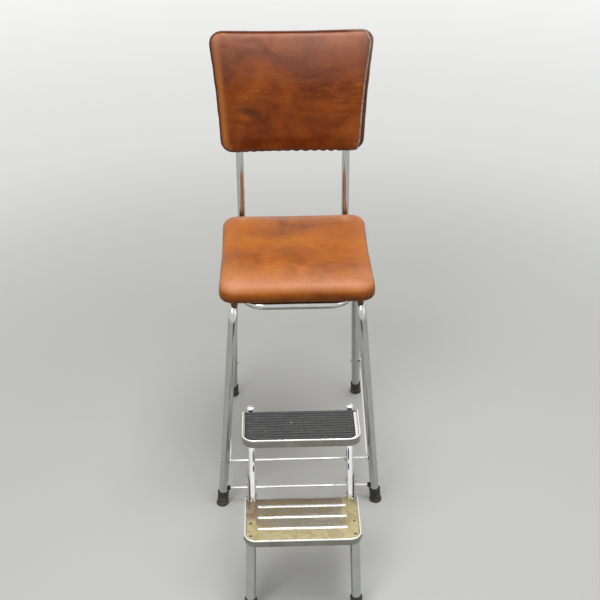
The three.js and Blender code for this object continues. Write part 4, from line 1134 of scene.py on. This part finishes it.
def shape_seat(c, v):
    """Moves a point of the seat and gives its painted shade, painted edge light, crease and painted sheen."""
    x, y, z = v.co * 1000
    reach = edge_reach(c, x, y)
    # Gathers round the corners and soft puckers along the lower edge
    low = tent(z - 9, 13)
    angle = math.atan2(y / c["depth"], x / c["width"])
    corner = max(0.0, 1 - abs(abs(x) / (c["width"] / 2) - abs(y) / (c["depth"] / 2)) * 2.2)
    side = tent(max(reach, 0), 9)
    out = Vector((x, y, 0)).normalized()
    ripple = math.sin(angle * 120 + 2.5 * wrinkle(x * 0.02, y * 0.02, 0, 2)) * 0.75 * corner * low * side
    pucker = 0.55 * wrinkle(x * 0.055, y * 0.055, z * 0.02, 5) * low * side
    crown = 0.7 * wrinkle(x * 0.011, y * 0.011, 0, 9) * min(max(reach - 6, 0) / 50, 1)
    v.co += (out * (ripple + pucker)) / 1000 + Vector((0, 0, crown if z > 20 else 0)) / 1000
    # Painted shade: darker patches over the top, and the lower front face darker
    patch = 0.48 * blot(x, y, -34, 62, 42, 30) + 0.22 * blot(x, y, 40, 96, 60, 26)
    patch += 0.18 * blot(x, y, 90, -20, 50, 60)
    lower_face_shade = unit((36 - z) / 28) * tent(max(reach, 0), 16)
    # Painted light: a lighter band just inside the edge on top, where the roll catches the light
    glow = unit((reach - 2) / 8) * tent(reach, 34) * (0.75 if z > 26 else 0)
    crease = 0.35 * unit((reach - 8) / 20) * max(0.0, wrinkle(x * 0.012, y * 0.012, 0, 15))
    # Painted sheen: the front roll, a painted reflection under each back post, the rear, and the left front
    # corner
    roll = 0.72 * unit((-y - 60) / 100) ** 1.4 * unit((z - 26) / 14)
    post_reflection = 0.7 * blot(abs(x), y, 127, 150, 10, 24) + 0.35 * unit((y - 110) / 60)
    corner_sheen = 0.35 * blot(x, y, -150, -160, 26, 20) if z > 30 else 0
    painted_sheen = min(1.2, roll + corner_sheen + (post_reflection if z > 36 else 0))
    return max(lower_face_shade, patch * (1 if z > 30 else 0)), glow, crease, painted_sheen


def shape_back(c, v):
    """Moves a point of the backrest and gives its painted shade, painted edge light and scuffs, crease and
    painted sheen.
    """
    x, y, z = v.co * 1000
    reach = edge_reach(c, x, y)
    side = tent(max(reach, 0), 10)
    out = Vector((x, y, 0)).normalized()
    # Gathers along the lower edge, a bump about every 21 mm
    bottom = unit((-y - c["depth"] / 2 + 20) / 14)
    scallop = abs(math.sin(math.pi * (x + 8 * wrinkle(x * 0.01, 0, 0, 4)) / 21)) - 0.6
    gather = (5.0 + 5.0 * wrinkle(x * 0.02, 2, 0, 31)) * unit((126 - abs(x)) / 20)
    v.co.y -= scallop * gather * bottom * tent(z - 26, 28) * tent(max(reach, 0), 18) / 1000
    # Fine creases across the face, a little over halfway down
    band = math.exp(-((y - 4 + 16 * wrinkle(x * 0.012, 1, 0, 3)) / 36) ** 2)
    sweep = wrinkle(x * 0.016, y * 0.11, 0, 6) + 0.5 * wrinkle(x * 0.03, y * 0.23, 0, 7)
    fold = max(0.0, 1 - abs(sweep) * 5) * band * unit((reach - 4) / 12)
    face = 1.0 if z > 28 else 0.0
    v.co.z -= fold * 0.55 * face / 1000
    v.co += out * 0.5 * wrinkle(x * 0.05, y * 0.05, z * 0.03, 8) * side / 1000
    v.co.z += face * 0.7 * wrinkle(x * 0.012, y * 0.012, 0, 12) * unit(reach / 50) / 1000
    # Painted shade: the right side beyond the piping and the sides below the face darker, partly a darker rear
    # cover; patches over the face and its lower part darker
    right_rim = unit((x - half_span(c, y) + 13.5) / 2.0)
    behind = unit((26 - z) / 6) * side
    patch = 0.78 * blot(x, y, -98, -42, 60, 32) + 0.55 * blot(x, y, 54, -62, 30, 16)
    patch += 0.35 * blot(x, y, 30, 98, 36, 40)
    lesser = 0.30 * blot(x, y, -140, -106, 24, 20) + 0.15 * blot(x, y, -60, 0, 46, 16)
    patch += lesser + 0.35 * unit((-y - 96) / 50)
    patch *= 0.8 + 1.2 * wrinkle(x * 0.03, y * 0.05, 0, 21)
    # Painted light along the left rolled edge; the scuffs at the lower corners are real wear
    left_rim = tent(-x - half_span(c, y) + 12, 13)
    scuff = blot(x, y, -150, -132, 2.2, 9) + blot(x, y, 150, -128, 2.0, 8)
    glow = min(left_rim * 1.5 * (0.9 if z > 14 else 0) + scuff, 1.2)
    crease = band * face * unit((reach - 3) / 6) * (0.55 + 0.45 * wrinkle(x * 0.02, 5, 0, 3))
    # Painted sheen over the upper face and at the upper left corner
    top_sheen = unit((y / c["depth"] * 2 - 0.10) / 0.8) * (0.75 + 0.25 * unit((x + 60) / 80))
    painted_sheen = face * top_sheen + (0.5 * blot(x, y, -176, 128, 9, 15) if z > 24 else 0)
    return unit(max(right_rim * 0.95, behind * 0.7, face * patch)), glow, crease, painted_sheen


def build_cushion(name, c, shape, finish, node, place):
    obj = inflate(name, c)
    marks = []
    for v in obj.data.vertices:
        v.co = keep_in_box(c, v.co)
        marks.append(shape(c, v))
    masks = dict(zip(("shade", "glow", "crease", "painted_sheen"), zip(*marks)))
    obj.data.transform(place)
    finish_off(obj, finish, "frame", node, masks)
    return obj


def build_welt(pad, c, place):
    """Piping laid on the cushion's surface: along its edge, and rolled into view on the right."""
    surface = BVHTree.FromObject(pad, bpy.context.evaluated_depsgraph_get())
    core = cushion_outline(c, -16, 1, 30, 110)
    stations = []
    for i, (x, y) in enumerate(core):
        ax, ay = core[i - 1]
        bx, by = core[(i + 1) % len(core)]
        out = Vector((by - ay, ax - bx, 0)).normalized()
        # From the edge at the top and bottom to well onto the face at the right
        on_right = unit((out.x - 0.15) / 0.75)
        on_right *= on_right * (3 - 2 * on_right)
        angle = math.radians((66 - 12 * y / (c["depth"] / 2)) * on_right)
        heading = out * math.cos(angle) + UP * math.sin(angle)
        inner = place @ (Vector((x, y, 24)) / 1000)
        hit, normal, _, _ = surface.ray_cast(inner, (place.to_3x3() @ heading).normalized())
        stations.append(hit + (normal if normal.dot(hit - inner) > 0 else -normal) * 0.0008)
    count = len(stations)
    for _ in range(2):
        stations = [(stations[i - 1] + stations[i] * 2 + stations[(i + 1) % count]) / 4 for i in range(count)]
    rings = []
    for i in range(count):
        heading = (stations[(i + 1) % count] - stations[i - 1]).normalized()
        u = (OUT_OF_BACK - heading * OUT_OF_BACK.dot(heading)).normalized()
        w = heading.cross(u)
        rings.append([stations[i] + (u * c + w * s) * 0.0021 for c, s in circle(12)])
    Shell().loft(rings + rings[:1], caps=False).piece("back_welt", WELT, "frame")


def build_staples(name, c, place):
    """Wire staples that hold the turned-in vinyl to the board."""
    shell = Shell()
    loop = cushion_outline(c, -11.0, 1, 4, 12)
    for i, (x, y) in enumerate(loop):
        nx, ny = loop[(i + 1) % len(loop)]
        way = Vector((nx - x, ny - y, 0)).normalized()
        centre = Vector(((x + nx) / 2, (y + ny) / 2, c["lip"] - 0.2))
        tilt = 0.5 * noise.noise(Vector((x * 0.3, y * 0.3, 0)))
        way = (Matrix.Rotation(tilt, 3, "Z") @ way).normalized()
        across = Vector((-way.y, way.x, 0))
        rings = []
        for s, drop in ((-5, 0.9), (-5, 0.1), (-4.4, -0.35), (4.4, -0.35), (5, 0.1), (5, 0.9)):
            middle = centre + way * s + Vector((0, 0, drop))
            wire = (middle + across * (0.45 * a) + Vector((0, 0, 0.2 * b)) for a, b in SQUARE)
            rings.append([place @ (spot / 1000) for spot in wire])
        shell.loft(rings)
    shell.piece(name, ZINC, "frame")


def build_cushions():
    seat_place = Matrix.Translation(at(0, SEAT_F, SEAT_UNDER))
    build_cushion("seat_cushion", SEAT, shape_seat, VINYL_SEAT, "seat_pad", seat_place)
    middle = back_post(0, BACK_RISE) + OUT_OF_BACK * (BACK_R + TOUCH) / 1000
    back_place = Matrix((X, ALONG_BACK, OUT_OF_BACK)).transposed().to_4x4()
    back_place.translation = middle
    backrest = build_cushion("back_cushion", BACK, shape_back, VINYL_BACK, "back_pad", back_place)
    build_welt(backrest, BACK, back_place)
    build_staples("seat_staples", SEAT, seat_place)
    build_staples("back_staples", BACK, back_place)
    for board in ("seat_board", "back_board"):
        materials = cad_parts[board].data.materials
        materials.clear()
        materials.append(PLY)


# Stage, light and camera

def white_rays(tree):
    """1 for rays that see the backdrop: the camera's, and those off polished metal or through clear things."""
    path = tree.nodes.new("ShaderNodeLightPath")
    seen = path.outputs["Is Camera Ray"]
    for name in ("Is Glossy Ray", "Is Transmission Ray"):
        either = tree.nodes.new("ShaderNodeMath")
        either.operation = "MAXIMUM"
        tree.links.new(seen, either.inputs[0])
        tree.links.new(path.outputs[name], either.inputs[1])
        seen = either.outputs[0]
    return seen


def build_stage():
    """A pale round floor that turns into the white surround far from the object."""
    sides = 96
    rings = [[Vector((r * c, r * s, 0)) for c, s in circle(sides)] for r in (14.0, 5.0, 2.0, 0.5)]
    shell = Shell().loft(rings, caps=False)
    shell.faces.append(tuple(3 * sides + k for k in range(sides)))
    floor = add_object("floor", shell)
    p = Paint("pale_floor", Roughness=0.9, Specular_IOR_Level=0.1)
    p.out(p.mix(p.times(p.noise(3), 0.06), (202, 202, 198), (186, 186, 181)))
    far = p.add("VectorMath", {0: p.place}, operation="LENGTH").outputs["Value"]
    glow = p.add("Emission", {"Color": (1.0, 1.0, 0.985, 1), "Strength": p.remap(far, 1.2, 6.0, 0.70, 1.0)})
    share = p.times(p.remap(far, 0.7, 2.3), white_rays(p.tree))
    both = p.add("MixShader", {0: share, 1: p.shader.outputs[0], 2: glow.outputs[0]})
    p.feed(next(n for n in p.tree.nodes if n.type == "OUTPUT_MATERIAL").inputs[0], both.outputs[0])
    floor.data.materials.append(p.mat)


def lamp(name, place, aim, size, power):
    data = bpy.data.lights.new(name, "AREA")
    data.size = size
    data.energy = power
    obj = bpy.data.objects.new(name, data)
    obj.location = place
    obj.rotation_euler = (Vector((0, 0, aim)) - Vector(place)).to_track_quat("-Z", "Y").to_euler()
    bpy.context.scene.collection.objects.link(obj)


def build_lights():
    """Three lamps and a soft world, which is plain white to the camera, polished metal and clear things."""
    world = bpy.data.worlds.new("studio")
    bpy.context.scene.world = world
    world.use_nodes = True
    tree = world.node_tree
    both = tree.nodes.new("ShaderNodeMixShader")
    tree.links.new(white_rays(tree), both.inputs[0])
    white = tree.nodes.new("ShaderNodeBackground")
    for index, node, strength in ((1, tree.nodes["Background"], 0.36), (2, white, 1.0)):
        node.inputs[0].default_value = (1.0, 1.0, 1.0, 1)
        node.inputs[1].default_value = strength
        tree.links.new(node.outputs[0], both.inputs[index])
    tree.links.new(both.outputs[0], tree.nodes["World Output"].inputs[0])
    lamp("key", (-1.3, -2.0, 3.0), 0.5, 1.4, 30)
    lamp("top", (0.3, -0.1, 3.1), 0.4, 1.6, 50)
    lamp("fill", (2.4, -1.6, 1.8), 0.6, 1.4, 7)


def build_camera():
    """Fitted to points read off the photograph: pitch, pan and roll in degrees."""
    pitch, pan, roll = math.radians(32.334), math.radians(1.546), math.radians(-0.296)
    forward = Vector((math.sin(pan) * math.cos(pitch), math.cos(pan) * math.cos(pitch), -math.sin(pitch)))
    right = Vector((math.cos(pan), -math.sin(pan), 0))
    up = right.cross(forward)
    x = right * math.cos(roll) + up * math.sin(roll)
    y = up * math.cos(roll) - right * math.sin(roll)
    data = bpy.data.cameras.new("camera")
    data.sensor_fit = "HORIZONTAL"
    data.sensor_width = 36
    data.lens = 67.015
    data.clip_start, data.clip_end = 0.05, 50
    camera = bpy.data.objects.new("camera", data)
    basis = Matrix((x, y, -forward)).transposed().to_4x4()
    basis.translation = Vector((-0.0522, -2.1573, 1.93396))
    camera.matrix_world = basis
    bpy.context.scene.collection.objects.link(camera)
    bpy.context.scene.camera = camera


for build in (
    build_legs, build_back_frame, build_screws, build_rods, build_side_rods, build_upper_tread, build_lower_tread,
    build_step_legs, build_posts, build_arms, build_cushions, build_stage, build_lights, build_camera,
):
    build()
bpy.context.scene.view_settings.view_transform = "Standard"
